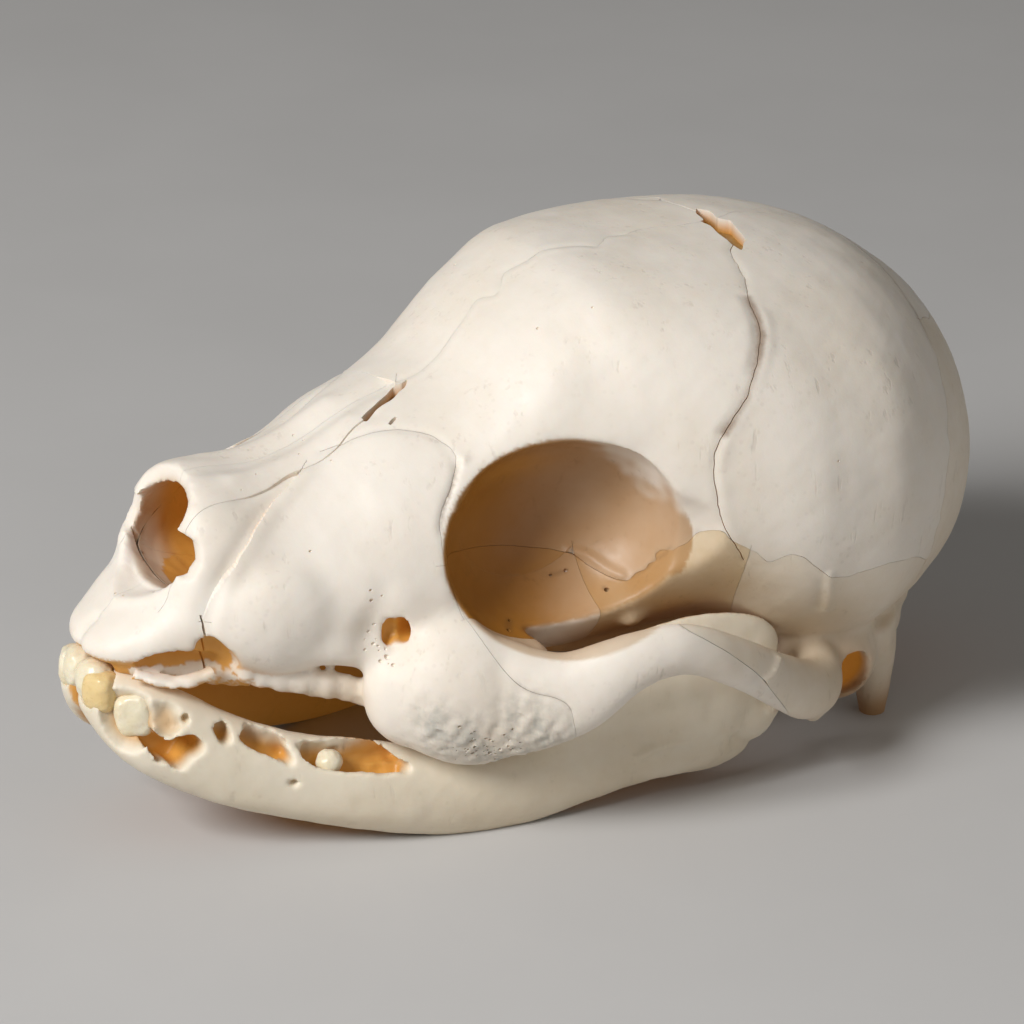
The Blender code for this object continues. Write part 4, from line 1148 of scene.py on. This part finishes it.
def scattered(centre: Point, spread: Point, count: int, sizes: tuple[float, float], seed: int) -> list[tuple[float, ...]]:
    """Scatters pits round a place.

    Args:
        centre: The middle of the patch.
        spread: Its half widths.
        count: How many pits.
        sizes: The least and the largest radius.
        seed: Another number gives another scatter.

    Returns:
        X, Y, Z and radius of each pit.
    """
    random = np.random.default_rng(seed)
    places = centre + random.normal(size=(count, 3)) * spread
    radii = sizes[0] + (sizes[1] - sizes[0]) * random.random(count) ** 2
    return [(*place, radius) for place, radius in zip(places, radii)]


def all_pits() -> list[tuple[float, ...]]:
    """Lists the pits of both sides, those of the right a little displaced."""
    left = list(PITS)
    left += scattered((16.9, -10.6, 9.0), (1.2, 1.8, 1.0), 60, (0.07, 0.17), 5)
    left += scattered((11.5, -17.0, 16.2), (0.2, 0.45, 0.6), 10, (0.06, 0.12), 6)
    shift = np.random.default_rng(12).normal(scale=0.5, size=(len(left), 3))
    right = [(-x + dx, y + dy, z + dz, radius) for (x, y, z, radius), (dx, dy, dz) in zip(left, shift)]
    return left + right


# The lower jaw


@dataclass(frozen=True)
class Crown:
    """The crown of a milk tooth that hasn't come through.

    Attributes:
        centre: Its middle.
        radii: Its half widths.
        turn: Its turn in degrees about X, Y and Z.
        block: Below 1, its corners are pushed out towards a box.
    """

    centre: Point
    radii: Point
    turn: Point = (0, 0, 0)
    block: float = 1.0

    def made(self, name: str, seed: int) -> bpy.types.Object:
        """Makes the closed crown."""
        shape = bmesh.new()
        bmesh.ops.create_icosphere(shape, subdivisions=5, radius=1)
        for vert in shape.verts:
            vert.co = [math.copysign(abs(value) ** self.block, value) for value in vert.co]
        spin = Euler([math.radians(angle) for angle in self.turn]).to_matrix().to_4x4()
        place = Matrix.Translation(self.centre) @ spin @ Matrix.Diagonal((*self.radii, 1))
        bmesh.ops.transform(shape, matrix=place, verts=shape.verts)
        return roughened(object_from(name, shape), 1.9, 0.07, seed)


@dataclass
class LowerJaw:
    """The left half of the lower jaw, its open crypts and the crowns in them."""

    body: Rows = (
        (0.2, -34.3, 12.0, 1.7, 1.9),
        (2.2, -33.8, 11.6, 2.1, 2.7),
        (4.3, -31.5, 9.9, 2.7, 3.4),
        (6.2, -27.5, 7.5, 2.5, 3.4),
        (7.9, -22.5, 5.6, 2.4, 3.3),
        (9.7, -17.0, 4.3, 2.4, 3.5),
        (11.2, -11.5, 3.0, 2.2, 3.3),
        (12.3, -6.0, 3.0, 1.9, 3.3),
        (13.3, -1.0, 4.6, 1.5, 3.8),
        (14.0, 4.0, 5.2, 1.2, 3.6),
    )
    ramus: Rows = (
        (12.8, -4.5, 5.0, 1.0, 3.0),
        (13.5, -1.0, 6.2, 1.1, 4.6),
        (14.3, 3.0, 7.8, 1.1, 6.2),
        (14.9, 8.0, 8.6, 1.1, 6.4),
        (14.9, 11.0, 8.8, 1.1, 5.4),
        (14.8, 13.0, 7.9, 1.0, 3.8),
    )
    windows: tuple[Window, ...] = (
        Window(((-32.9, 9.6), (-32.4, 10.6), (-31.4, 10.0), (-30.4, 10.4), (-29.0, 9.6), (-29.9, 8.7), (-30.6, 7.8),
                (-31.7, 8.1), (-32.6, 8.7)), 4.4, 12.0, 0.2),
        Window(((-33.5, 13.9), (-32.8, 12.5), (-32.4, 11.5), (-33.0, 11.7)), 3.6, 12.0, 0.08),
        Window(((-28.3, 10.8), (-27.1, 10.5), (-27.1, 9.3), (-28.1, 9.7)), 6.4, 12.0, 0.1),
        Window(((-26.6, 9.8), (-24.6, 9.9), (-23.3, 8.6), (-23.0, 7.2), (-24.7, 8.1), (-26.0, 8.9)), 7.4, 14.0, 0.12),
        Window(((-22.8, 9.2), (-19.7, 8.5), (-16.9, 7.8), (-14.4, 6.0), (-16.9, 6.0), (-21.4, 7.0)), 8.8, 16.0, 0.12),
    )
    troughs: tuple[Rows, ...] = (
        ((7.4, -26.2, 9.3, 0.8, 1.1), (8.0, -24.6, 8.6, 0.9, 1.2), (8.5, -23.5, 7.8, 0.8, 1.0)),
        ((9.0, -22.2, 7.7, 0.8, 1.1), (9.6, -19.6, 6.9, 1.0, 1.3), (10.3, -16.9, 6.2, 0.9, 1.1), (10.9, -15.0, 5.7, 0.7, 0.8)),
    )
    basins: Rows = (
        (5.4, -34.4, 11.6, 1.9, 2.3, 2.9),
        (2.0, -35.2, 13.6, 1.9, 1.7, 2.0),
        (6.9, -31.6, 11.9, 1.3, 1.3, 1.7),
    )
    holes: Rows = ((7.0, -30.3, 11.3, 1.4, 0.34, 0.42), (10.2, -23.3, 6.0, 0.9, 0.42, 0.26))
    crowns: dict[str, tuple["Crown", ...]] = field(default_factory=lambda: {
        "milk_teeth": (
            Crown((1.35, -34.75, 13.2), (1.5, 1.2, 1.6), (0, 0, 22), 0.8),
            Crown((4.05, -32.9, 11.2), (0.95, 1.4, 1.65), (6, 0, -37), 0.6),
            Crown((9.5, -20.1, 6.8), (0.95, 1.0, 0.9)),
        ),
        "milk_incisor": (Crown((2.45, -34.7, 12.8), (1.25, 1.15, 1.5), (0, 0, 30), 0.62),),
    })

    def solid(self) -> bpy.types.Object:
        """Fuses the body, the ramus and the joint into one skin."""
        pieces = [
            bar("jaw_body", self.body),
            bar("jaw_ramus", self.ramus),
            ellipsoid("jaw_angle", (14.2, 8.6, 3.2), (1.0, 4.2, 1.7)),
            ellipsoid("jaw_neck", (14.8, 12.3, 5.6), (1.1, 2.2, 2.2)),
            ellipsoid("jaw_condyle", (14.0, 13.7, 6.0), (2.1, 1.2, 1.2)),
        ]
        return fused("jaw", pieces, JAW_VOXEL, SMOOTH_REACH * 0.85)

    def half(self, solid: bpy.types.Object) -> bpy.types.Object:
        """Opens the crypts and trims the half at the chin and the floor."""
        hollows = [window.cutter(f"crypt_{i}", 80 + i) for i, window in enumerate(self.windows)]
        hollows += [roughened(bar(f"trough_{i}", stops, samples=10), 1.2, 0.14, 90 + i) for i, stops in enumerate(self.troughs)]
        for i, (x, y, z, across, along, high) in enumerate(self.basins + self.holes):
            basin = ellipsoid(f"basin_{i}", (x, y, z), (across, along, high), (0, 0, -30), 4)
            hollows.append(roughened(basin, 1.3, 0.14 * min(1.0, along), 20 + i))
        for hollow in hollows:
            cut(solid, hollow)
        jaw = fused("jaw_half", [solid], JAW_VOXEL, SMOOTH_REACH * 0.2)
        cut(jaw, slab("chin_joint", (-20, -50, -10), (0.08, 50, 30)))
        return cut(jaw, slab("below_floor", (-50, -50, -10), (50, 50, 0)))

    def teeth(self) -> dict[str, bpy.types.Object]:
        """Makes the milk crowns that show in the crypts."""
        return {
            name: joined(name, [crown.made(f"crown_{i}", 40 + i) for i, crown in enumerate(crowns)])
            for name, crowns in self.crowns.items()
        }


# Finishes


@dataclass
class Wire:
    """A number's socket, on which sums are written as Python sums."""

    tree: "Tree"
    socket: bpy.types.NodeSocket

    def _math(self, operation: str, *values: "Wire | float") -> "Wire":
        """Adds one Math node."""
        return self.tree.node("ShaderNodeMath", {"operation": operation}, *values)

    def __add__(self, other: "Wire | float") -> "Wire":
        """Adds."""
        return self._math("ADD", self, other)

    __radd__ = __add__

    def __mul__(self, other: "Wire | float") -> "Wire":
        """Multiplies."""
        return self._math("MULTIPLY", self, other)

    __rmul__ = __mul__

    def __sub__(self, other: "Wire | float") -> "Wire":
        """Takes away."""
        return self._math("SUBTRACT", self, other)

    def __rsub__(self, other: float) -> "Wire":
        """Takes this from a number."""
        return self._math("SUBTRACT", other, self)

    def __pow__(self, power: float) -> "Wire":
        """Raises to a power."""
        return self._math("POWER", self, power)

    def most(self, other: "Wire | float") -> "Wire":
        """Takes the larger of the two."""
        return self._math("MAXIMUM", self, other)

    def span(self, low: float, high: float) -> "Wire":
        """Brings low..high to 0..1 and holds it there."""
        settings = {"interpolation_type": "SMOOTHSTEP"}
        return self.tree.node("ShaderNodeMapRange", settings, self, low, high, 0.0, 1.0)


@dataclass
class Tree:
    """One material's nodes."""

    material: bpy.types.Material

    @property
    def nodes(self) -> bpy.types.Nodes:
        """The nodes of the material."""
        return self.material.node_tree.nodes

    def node(self, kind: str, settings: dict[str, object], *values: object, out: int | str = 0) -> Wire:
        """Adds a node.

        Args:
            kind: The node's type.
            settings: What is set on the node itself, before its sockets.
            values: What its sockets get in order, links or values, None to pass one by.
            out: The output that is handed back.

        Returns:
            The wire from that output.
        """
        node = self.nodes.new(kind)
        for name, value in settings.items():
            setattr(node, name, value)
        sockets = [socket for socket in node.inputs if socket.enabled]
        for socket, value in zip(sockets, values):
            if isinstance(value, Wire):
                self.material.node_tree.links.new(value.socket, socket)
            elif value is not None:
                socket.default_value = value
        outputs = [socket for socket in node.outputs if socket.enabled]
        found = node.outputs[out] if isinstance(out, str) else outputs[out]
        return Wire(self, found)

    def mix(self, share: Wire | float, first: object, second: object) -> Wire:
        """Mixes two colours."""
        return self.node("ShaderNodeMix", {"data_type": "RGBA"}, share, first, second)

    def field(self, name: str) -> Wire:
        """Reads one of the piece's own number fields."""
        return self.node("ShaderNodeAttribute", {"attribute_name": name}, out="Fac")

    def noise(self, place: Wire, scale: float, detail: float = 3.0, rough: float = 0.55) -> Wire:
        """Adds a cloud pattern, centred on 0.5."""
        return self.node("ShaderNodeTexNoise", {}, place, scale, detail, rough)

    def cells(self, place: Wire, scale: float) -> Wire:
        """Adds the distance to scattered points."""
        return self.node("ShaderNodeTexVoronoi", {"feature": "F1"}, place, scale)


Colour = tuple[float, float, float, float]


@dataclass(frozen=True)
class BoneFinish:
    """Dry clean bone, from chalky white to amber where it is thin, with painted shade in its amber and tan and a
    painted glow inside.
    """

    name: str
    light: Colour
    dull: Colour
    tan: Colour
    amber: Colour
    dark: Colour
    rough: float = 0.5
    pores: float = 1.0
    scatter: float = 0.12

    def made(self) -> bpy.types.Material:
        """Builds the material."""
        material = bpy.data.materials.new(self.name)
        material.use_nodes = True
        tree = Tree(material)
        shader = tree.nodes["Principled BSDF"]
        place = tree.node("ShaderNodeTexCoord", {}, out="Object")
        tall = tree.node("ShaderNodeMapping", {}, place, None, None, (1.0, 1.0, 0.2))
        clouds = tree.noise(place, 130.0, 4.0)
        fine = tree.noise(place, 900.0, 4.0, 0.6)
        grain = tree.noise(place, 3200.0, 3.0, 0.6)
        scratches = tree.noise(tall, 1500.0, 2.0).span(0.6, 0.72) * tree.noise(place, 260.0).span(0.46, 0.62)
        pores = (1.0 - tree.cells(place, 1500.0).span(0.1, 0.34)) * tree.noise(place, 260.0).span(0.42, 0.66)
        amber, warm_and_shade = tree.field("amber"), tree.field("tan")
        stain, chalk = tree.field("stain"), tree.field("chalk")
        bone = tree.mix(clouds.span(0.36, 0.68) * 0.5 + fine.span(0.4, 0.7) * 0.15, self.light, self.dull)
        # Tan: a warmer tone of the bone, and painted shade towards the bottom and on inner surfaces.
        bone = tree.mix(warm_and_shade + (clouds - 0.5) * 0.5 * warm_and_shade, bone, self.tan)
        # Amber: the thin bone's own amber, and painted shade inside, under the palate, in the eye socket and in
        # recesses.
        bone = tree.mix((amber * (0.8 + 0.4 * clouds)).span(0.0, 1.0), bone, self.amber)
        # Painted glow: a brighter amber base colour inside the bone where the deep field is, standing in for light
        # shining through thin bone.
        bone = tree.mix(tree.field("deep"), bone, PAINTED_GLOW)
        # Darker along the sutures, and painted shade round holes and the ear recess.
        bone = tree.mix((stain * (0.5 + fine)).span(0.0, 1.1) * 0.75, bone, self.dark)
        bone = tree.mix(chalk * (0.25 + 0.5 * fine.span(0.35, 0.65)), bone, (0.44, 0.43, 0.38, 1))
        bone = tree.mix(pores * (0.07 * self.pores) + scratches * 0.12, bone, self.dark)
        links = material.node_tree.links
        links.new(bone.socket, shader.inputs["Base Color"])
        links.new((self.rough + (fine - 0.5) * 0.3 - 0.12 * amber).socket, shader.inputs["Roughness"])
        height = (1.0 - pores) * 0.14 + fine * 0.3 + grain * (0.16 + 0.5 * chalk) - scratches * 0.4
        bump = tree.node("ShaderNodeBump", {}, 0.4, 0.00008, None, height)
        links.new(bump.socket, shader.inputs["Normal"])
        # Painted glow: a faint amber emission inside the bone where the deep field is, though the bone is no lamp.
        painted_glow = tree.mix(tree.field("deep"), (0, 0, 0, 1), PAINTED_GLOW_EMISSION)
        links.new(painted_glow.socket, shader.inputs["Emission Color"])
        shader.inputs["Emission Strength"].default_value = 1.0
        shader.inputs["Specular IOR Level"].default_value = 0.35
        shader.inputs["Subsurface Weight"].default_value = self.scatter
        shader.inputs["Subsurface Radius"].default_value = (1.0, 0.55, 0.3)
        shader.inputs["Subsurface Scale"].default_value = 0.0006
        return material


@dataclass(frozen=True)
class EnamelFinish:
    """Young enamel, cream to yellow, with a soft shine."""

    name: str
    light: Colour
    deep: Colour
    rough: float = 0.3

    def made(self) -> bpy.types.Material:
        """Builds the material."""
        material = bpy.data.materials.new(self.name)
        material.use_nodes = True
        tree = Tree(material)
        shader = tree.nodes["Principled BSDF"]
        place = tree.node("ShaderNodeTexCoord", {}, out="Object")
        clouds = tree.noise(place, 420.0, 3.0)
        fine = tree.noise(place, 1800.0, 3.0)
        colour = tree.mix(clouds.span(0.35, 0.7) * 0.6, self.light, self.deep)
        colour = tree.mix(fine.span(0.55, 0.75) * 0.15, colour, (0.4, 0.24, 0.08, 1))
        links = material.node_tree.links
        links.new(colour.socket, shader.inputs["Base Color"])
        links.new((self.rough + (fine - 0.5) * 0.3).socket, shader.inputs["Roughness"])
        bump = tree.node("ShaderNodeBump", {}, 0.3, 0.00005, None, clouds + fine * 0.5)
        links.new(bump.socket, shader.inputs["Normal"])
        shader.inputs["Subsurface Weight"].default_value = 0.15
        shader.inputs["Subsurface Radius"].default_value = (1.0, 0.6, 0.3)
        shader.inputs["Subsurface Scale"].default_value = 0.0005
        return material


# The amber of thin bone, also used for painted shade in hollows and on undersides.
AMBER_AND_SHADE = (0.40, 0.17, 0.024, 1)
DARK = (0.16, 0.08, 0.03, 1)
# Painted glow colours: the first brightens the base colour inside the bone, the second is emitted there.
PAINTED_GLOW = (0.66, 0.33, 0.07, 1)
PAINTED_GLOW_EMISSION = (0.085, 0.038, 0.005, 1)
BONE_FINISHES = {
    "vault_bone": BoneFinish("vault_bone", (0.87, 0.80, 0.71, 1), (0.80, 0.71, 0.59, 1), (0.60, 0.45, 0.28, 1), AMBER_AND_SHADE, DARK),
    "face_bone": BoneFinish("face_bone", (0.88, 0.81, 0.72, 1), (0.80, 0.71, 0.60, 1), (0.58, 0.42, 0.25, 1), AMBER_AND_SHADE, DARK),
    "base_bone": BoneFinish("base_bone", (0.84, 0.75, 0.63, 1), (0.74, 0.63, 0.48, 1), (0.56, 0.41, 0.24, 1), AMBER_AND_SHADE, DARK),
    "inner_bone": BoneFinish("inner_bone", (0.78, 0.65, 0.47, 1), (0.62, 0.45, 0.26, 1), (0.50, 0.32, 0.15, 1), AMBER_AND_SHADE, DARK),
    "jaw_bone": BoneFinish("jaw_bone", (0.82, 0.74, 0.60, 1), (0.72, 0.62, 0.46, 1), (0.58, 0.43, 0.26, 1), AMBER_AND_SHADE, DARK),
}
# A dark brown sheet under the roof gaps: painted shade in the openings.
SHADE_SHEET_FINISH = BoneFinish("dry_membrane", (0.42, 0.24, 0.07, 1), (0.33, 0.17, 0.04, 1), (0.5, 0.3, 0.12, 1), AMBER_AND_SHADE, DARK, 0.35)
ENAMELS = {
    "milk_teeth": EnamelFinish("cream_enamel", (0.84, 0.77, 0.60, 1), (0.74, 0.62, 0.38, 1)),
    "milk_incisor": EnamelFinish("yellow_enamel", (0.80, 0.62, 0.32, 1), (0.70, 0.48, 0.19, 1)),
}


# Working the skin over and handing the pieces in


@dataclass
class Dresser:
    """Works each raw bone over, colours it, and hands it in as a finished piece."""

    socket: EyeSocket = field(default_factory=EyeSocket)
    finishes: dict[str, bpy.types.Material] = field(default_factory=dict)

    def __post_init__(self) -> None:
        """Builds the finishes."""
        self.finishes = {slot: finish.made() for slot, finish in BONE_FINISHES.items()}

    def worked(self, bone: bpy.types.Object, name: str, skin: Skin) -> None:
        """Raises ridges, sinks grooves and writes the colour fields.

        Args:
            bone: The raw bone, in millimetres.
            name: The name of the solid that it stands for.
            skin: The outer skin that it belongs to.
        """
        mesh = bone.data
        count = len(mesh.vertices)
        places, normals = np.empty(count * 3), np.empty(count * 3)
        mesh.vertices.foreach_get("co", places)
        mesh.vertices.foreach_get("normal", normals)
        places, normals = places.reshape(-1, 3), normals.reshape(-1, 3)
        depths, ways = skin.read(places)
        near = np.exp(-((depths / 0.6) ** 2))
        lift = waves(places, 5.0, 31) * 0.035 + waves(places, 1.6, 32) * 0.012
        for stroke in STROKES:
            lift += stroke.lift(places, name)
        cheek = np.zeros(count)
        if name.startswith(("maxilla", "zygomatic")):
            cheek = Stroke(CHEEK_ROUGH, 1.8, 1.0).lift(places, name).clip(0, 1)
            lift += cheek * waves(places, 0.8, 33, 3) * 0.13
        moved = places + ways * (lift * near)[:, None]
        moved += normals * (waves(places, 2.2, 34) * 0.05 * (1 - near))[:, None]
        moved[:, 2] = np.where(places[:, 2] < 0.02, places[:, 2], np.maximum(moved[:, 2], 0.0))
        mesh.vertices.foreach_set("co", moved.ravel())
        self._colour(mesh, name, places, depths, ways, cheek)
        mesh.update()

    def _colour(
        self,
        mesh: bpy.types.Mesh,
        name: str,
        places: np.ndarray,
        depths: np.ndarray,
        ways: np.ndarray,
        cheek: np.ndarray,
    ) -> None:
        """Writes the fields that the bone finish reads.

        Args:
            mesh: The mesh that gets them.
            name: The bone's name.
            places: Where its points lie.
            depths: How deep they lie under the outer skin.
            ways: Which way is out there.
            cheek: How rough the cheek is there.
        """
        sideways = ways[:, 0] * np.sign(places[:, 0])
        # Jaw: painted shade in amber, and the painted glow, on inner surfaces and on the inner side that faces the
        # midline.
        if name.startswith("mandible"):
            inside = step_up(depths, 0.5, 2.0)
            amber = np.maximum(inside * 0.95, step_up(sideways, -0.1, -0.7) * 0.8)
            deep = np.maximum(inside, step_up(sideways, -0.1, -0.7) * 0.8)
            # Jaw tan: painted shade on inner surfaces and towards the bottom.
            tan = step_up(depths, 0.2, 0.9) * 0.7 + step_up(places[:, 2], 7.0, 1.0) * 0.25
        else:
            # Cranium: painted shade in amber, and the painted glow, on inner surfaces below the outer skin, less in the
            # nostril.
            inside = step_up(depths, 0.35, 1.3)
            socket = self.socket.inside(places)
            rear = step_up(places[:, 1], -8.0, 3.0)
            nostril = step_up(places[:, 1], -24.5, -28.0)
            arch = 0.35 if name.startswith("zygomatic") else 1.0
            # Eye socket: amber that is partly the thin bone's own colour and partly painted shade, less towards the
            # back.
            amber = np.maximum(inside * (0.95 - 0.8 * nostril), socket * (0.95 - 0.4 * rear) * arch)
            # Painted shade in amber, and the painted glow, on surfaces facing down under the palate.
            palate_shade = step_up(ways[:, 2], -0.3, -0.8) * step_up(np.abs(places[:, 0]), 9.0, 6.0)
            palate_shade *= step_up(places[:, 1], 2.0, -4.0)
            amber = np.maximum(amber, palate_shade * 0.8)
            deep = np.maximum(inside * (1 - nostril), palate_shade * 0.9)
            # Tan in the eye socket and on the nostril's inner walls, and painted shade towards the bottom.
            tan = np.maximum(socket * 0.6, nostril * inside * 0.55) + step_up(places[:, 2], 12.0, 2.0) * 0.3
            # Amber patches of painted shade in the recesses.
            for spot in AMBER_SHADE_SPOTS:
                amber = np.maximum(amber, spot.at(places))
            for spot in TAN_SPOTS:
                tan = np.maximum(tan, spot.at(places))
            # Keeps the boss by the eye socket pale, free of amber, tan and painted shade.
            cream = CREAM_SPOT.at(places)
            amber, tan = amber * (1 - cream), tan * (1 - cream)
        # Dark suture lines, and painted shade round holes and the ear opening.
        stain = np.zeros(len(places))
        for stroke in STAINS_AND_SHADE:
            stain = np.maximum(stain, stroke.lift(places, name))
        fields = {"amber": amber, "tan": tan.clip(0, 1), "stain": stain * (1 - inside), "chalk": cheek * (1 - inside)}
        # deep: where the painted glow goes, on inner surfaces, under the palate and on the jaw's inner side.
        fields["deep"] = deep * 0.8
        for label, values in fields.items():
            layer = mesh.attributes.new(label, "FLOAT", "POINT")
            layer.data.foreach_set("value", values.astype(np.float32))

    def handed_in(self, bone: bpy.types.Object, name: str, material: bpy.types.Material) -> None:
        """Brings a finished piece to metres, dresses it and ties it to the skull.

        Args:
            bone: The piece, in millimetres.
            name: Its final name.
            material: Its finish.
        """
        mesh = bone.data
        mesh.transform(Matrix.Scale(MM, 4) @ Matrix.Translation(REST_SHIFT))
        mesh.materials.clear()
        mesh.materials.append(material)
        mesh.shade_smooth()
        mesh.set_sharp_from_angle(angle=math.radians(52))
        bone.name = name
        mesh.name = name
        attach(bone, "root")
        log.info("%s: %d faces", name, len(mesh.polygons))

    def bone(self, raw: bpy.types.Object, node: str, skin: Skin) -> None:
        """Works over and hands in the piece that stands for one solid."""
        self.worked(raw, node, skin)
        slot = SLOT_OF[node.split("_")[0]]
        self.handed_in(raw, node + "_bone", self.finishes[slot])
        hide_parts(node)


# The stage


@dataclass
class Studio:
    """Floor, lights and the camera at the photograph's angle."""

    turn: float = 62.0
    height: float = 23.0
    distance: float = 0.330
    target: Point = (-0.0000016, -0.0004676, 0.0189)
    pixels_per_mm: float = 13.3
    image_width: int = 1024
    sensor: float = 36.0

    def axes(self) -> tuple[Vector, Vector, Vector]:
        """Gives the camera's right, up and backward directions."""
        turn, height = math.radians(self.turn), math.radians(self.height)
        back = Vector((math.sin(turn) * math.cos(height), -math.cos(turn) * math.cos(height), math.sin(height)))
        right = Vector((math.cos(turn), math.sin(turn), 0))
        return right, back.cross(right), back

    def camera(self) -> None:
        """Sets up the camera."""
        right, up, back = self.axes()
        data = bpy.data.cameras.new("camera")
        data.sensor_width = self.sensor
        data.lens = self.sensor * self.pixels_per_mm * self.distance * 1000 / self.image_width
        data.clip_start = 0.01
        camera = bpy.data.objects.new("camera", data)
        place = Matrix((right, up, back)).transposed().to_4x4()
        place.translation = Vector(self.target) + back * self.distance
        camera.matrix_world = place
        bpy.context.scene.collection.objects.link(camera)
        bpy.context.scene.camera = camera

    def lamp(self, name: str, sideways: float, rise: float, forward: float, power: float, size: float) -> None:
        """Hangs one soft square light, placed as the camera sees it, and aims it at the skull."""
        right, _, back = self.axes()
        level = Vector((back.x, back.y, 0)).normalized()
        data = bpy.data.lights.new(name, "AREA")
        data.energy, data.size = power, size
        lamp = bpy.data.objects.new(name, data)
        lamp.location = Vector(self.target) + right * sideways + Vector((0, 0, rise)) + level * forward
        aim = Vector(self.target) - lamp.location
        lamp.rotation_euler = aim.to_track_quat("-Z", "Y").to_euler()
        bpy.context.scene.collection.objects.link(lamp)

    def floor(self) -> None:
        """Lays a wide pale floor."""
        shape = bmesh.new()
        bmesh.ops.create_grid(shape, x_segments=1, y_segments=1, size=1.5)
        floor = object_from("floor", shape)
        material = bpy.data.materials.new("floor")
        material.use_nodes = True
        tree = Tree(material)
        place = tree.node("ShaderNodeTexCoord", {}, out="Object")
        shade = tree.mix(tree.noise(place, 30.0).span(0.3, 0.7), (0.56, 0.55, 0.54, 1), (0.58, 0.57, 0.56, 1))
        shader = tree.nodes["Principled BSDF"]
        material.node_tree.links.new(shade.socket, shader.inputs["Base Color"])
        shader.inputs["Roughness"].default_value = 0.8
        floor.data.materials.append(material)

    def built(self) -> None:
        """Builds the whole stage."""
        self.camera()
        self.floor()
        self.lamp("key_light", -0.34, 0.36, 0.32, 3.3, 0.22)
        self.lamp("fill_light", 0.45, 0.18, 0.35, 0.35, 0.5)
        world = bpy.data.worlds.new("studio")
        world.use_nodes = True
        sky = world.node_tree.nodes["Background"]
        sky.inputs["Color"].default_value = (1.0, 0.97, 0.92, 1)
        sky.inputs["Strength"].default_value = 0.15
        bpy.context.scene.world = world
        bpy.context.scene.view_settings.view_transform = "Standard"


@dataclass
class RoofGaps:
    """The soft spot and the gap at the root of the nose, each with a dark sheet of painted shade under it."""

    soft_spot: Rows = FONTANELLE
    nose_root: Rows = (
        (2.7, -13.8), (2.4, -13.2), (2.2, -12.6), (1.8, -11.7), (1.5, -11.1), (0.9, -10.4), (1.3, -9.8), (1.2, -9.3),
        (1.9, -9.8), (2.1, -10.4), (2.5, -11.1), (2.6, -12.0), (2.8, -12.9), (3.2, -13.6),
    )

    def cutters(self) -> list[bpy.types.Object]:
        """Makes what opens the gaps."""
        cutters = []
        for name, outline, low, high in (("soft_spot", self.soft_spot, 34.0, 44.0), ("nose_root", self.nose_root, 26.0, 36.0)):
            edge = smooth_path([*outline, outline[0]], 3)[:-1]
            cutters.append(prism(name, edge.tolist(), 2, low, high))
        cutters.append(bar("root_slot", ((4.7, -12.5, 30.0, 0.12, 0.7), (4.5, -12.1, 30.2, 0.15, 0.7), (4.4, -11.8, 30.3, 0.1, 0.7))))
        return cutters

    def shade_sheets(self) -> dict[str, bpy.types.Object]:
        """Makes the two thin dark sheets of painted shade."""
        return {
            "soft_spot_membrane": ellipsoid("soft_spot_membrane", (2.6, 16.1, 38.6), (4.9, 1.8, 0.14), fineness=5),
            "nose_root_membrane": ellipsoid("nose_root_membrane", (2.1, -11.8, 29.75), (1.3, 3.0, 0.14), (18, 0, 22), 5),
        }


def build_cranium(dresser: Dresser) -> None:
    """Builds, works over and hands in every bone of the cranium."""
    cranium = Cranium()
    solid = cranium.skin()
    edges = both_sides(cranium.tooth_margin())
    skin = Skin.of(solid, *edges)
    shell = cranium.shell(solid, edges)
    cut(shell, skin.pits(all_pits()))
    gaps = RoofGaps()
    for cutter in gaps.cutters() + suture_cuts():
        cut(shell, cutter)
    for node, bone in named_bones(islands(shell)).items():
        dresser.bone(bone, node, skin)
    # Dark sheets of painted shade under the gaps.
    shade_sheet_finish = SHADE_SHEET_FINISH.made()
    for name, sheet in gaps.shade_sheets().items():
        dresser.handed_in(roughened(sheet, 1.2, 0.05, 70), name, shade_sheet_finish)


def build_lower_jaw(dresser: Dresser) -> None:
    """Builds both halves of the lower jaw with their milk teeth."""
    jaw = LowerJaw()
    solid = jaw.solid()
    skin = Skin.of(solid)
    left = jaw.half(solid)
    right = mirrored(left, "mandible_right")
    dresser.bone(left, "mandible_left", skin)
    dresser.bone(right, "mandible_right", Skin(skin.tree, -1.0))
    enamels = {name: finish.made() for name, finish in ENAMELS.items()}
    for name, crown in jaw.teeth().items():
        other = mirrored(crown, name + "_right")
        dresser.handed_in(crown, name + "_left", enamels[name])
        dresser.handed_in(other, name + "_right", enamels["milk_teeth"])


def main() -> None:
    """Builds the skull and its stage."""
    dresser = Dresser()
    Studio().built()
    build_cranium(dresser)
    build_lower_jaw(dresser)


if __name__ == "__main__":
    logging.basicConfig(level=logging.INFO, format="%(relativeCreated)d %(message)s")
    main()
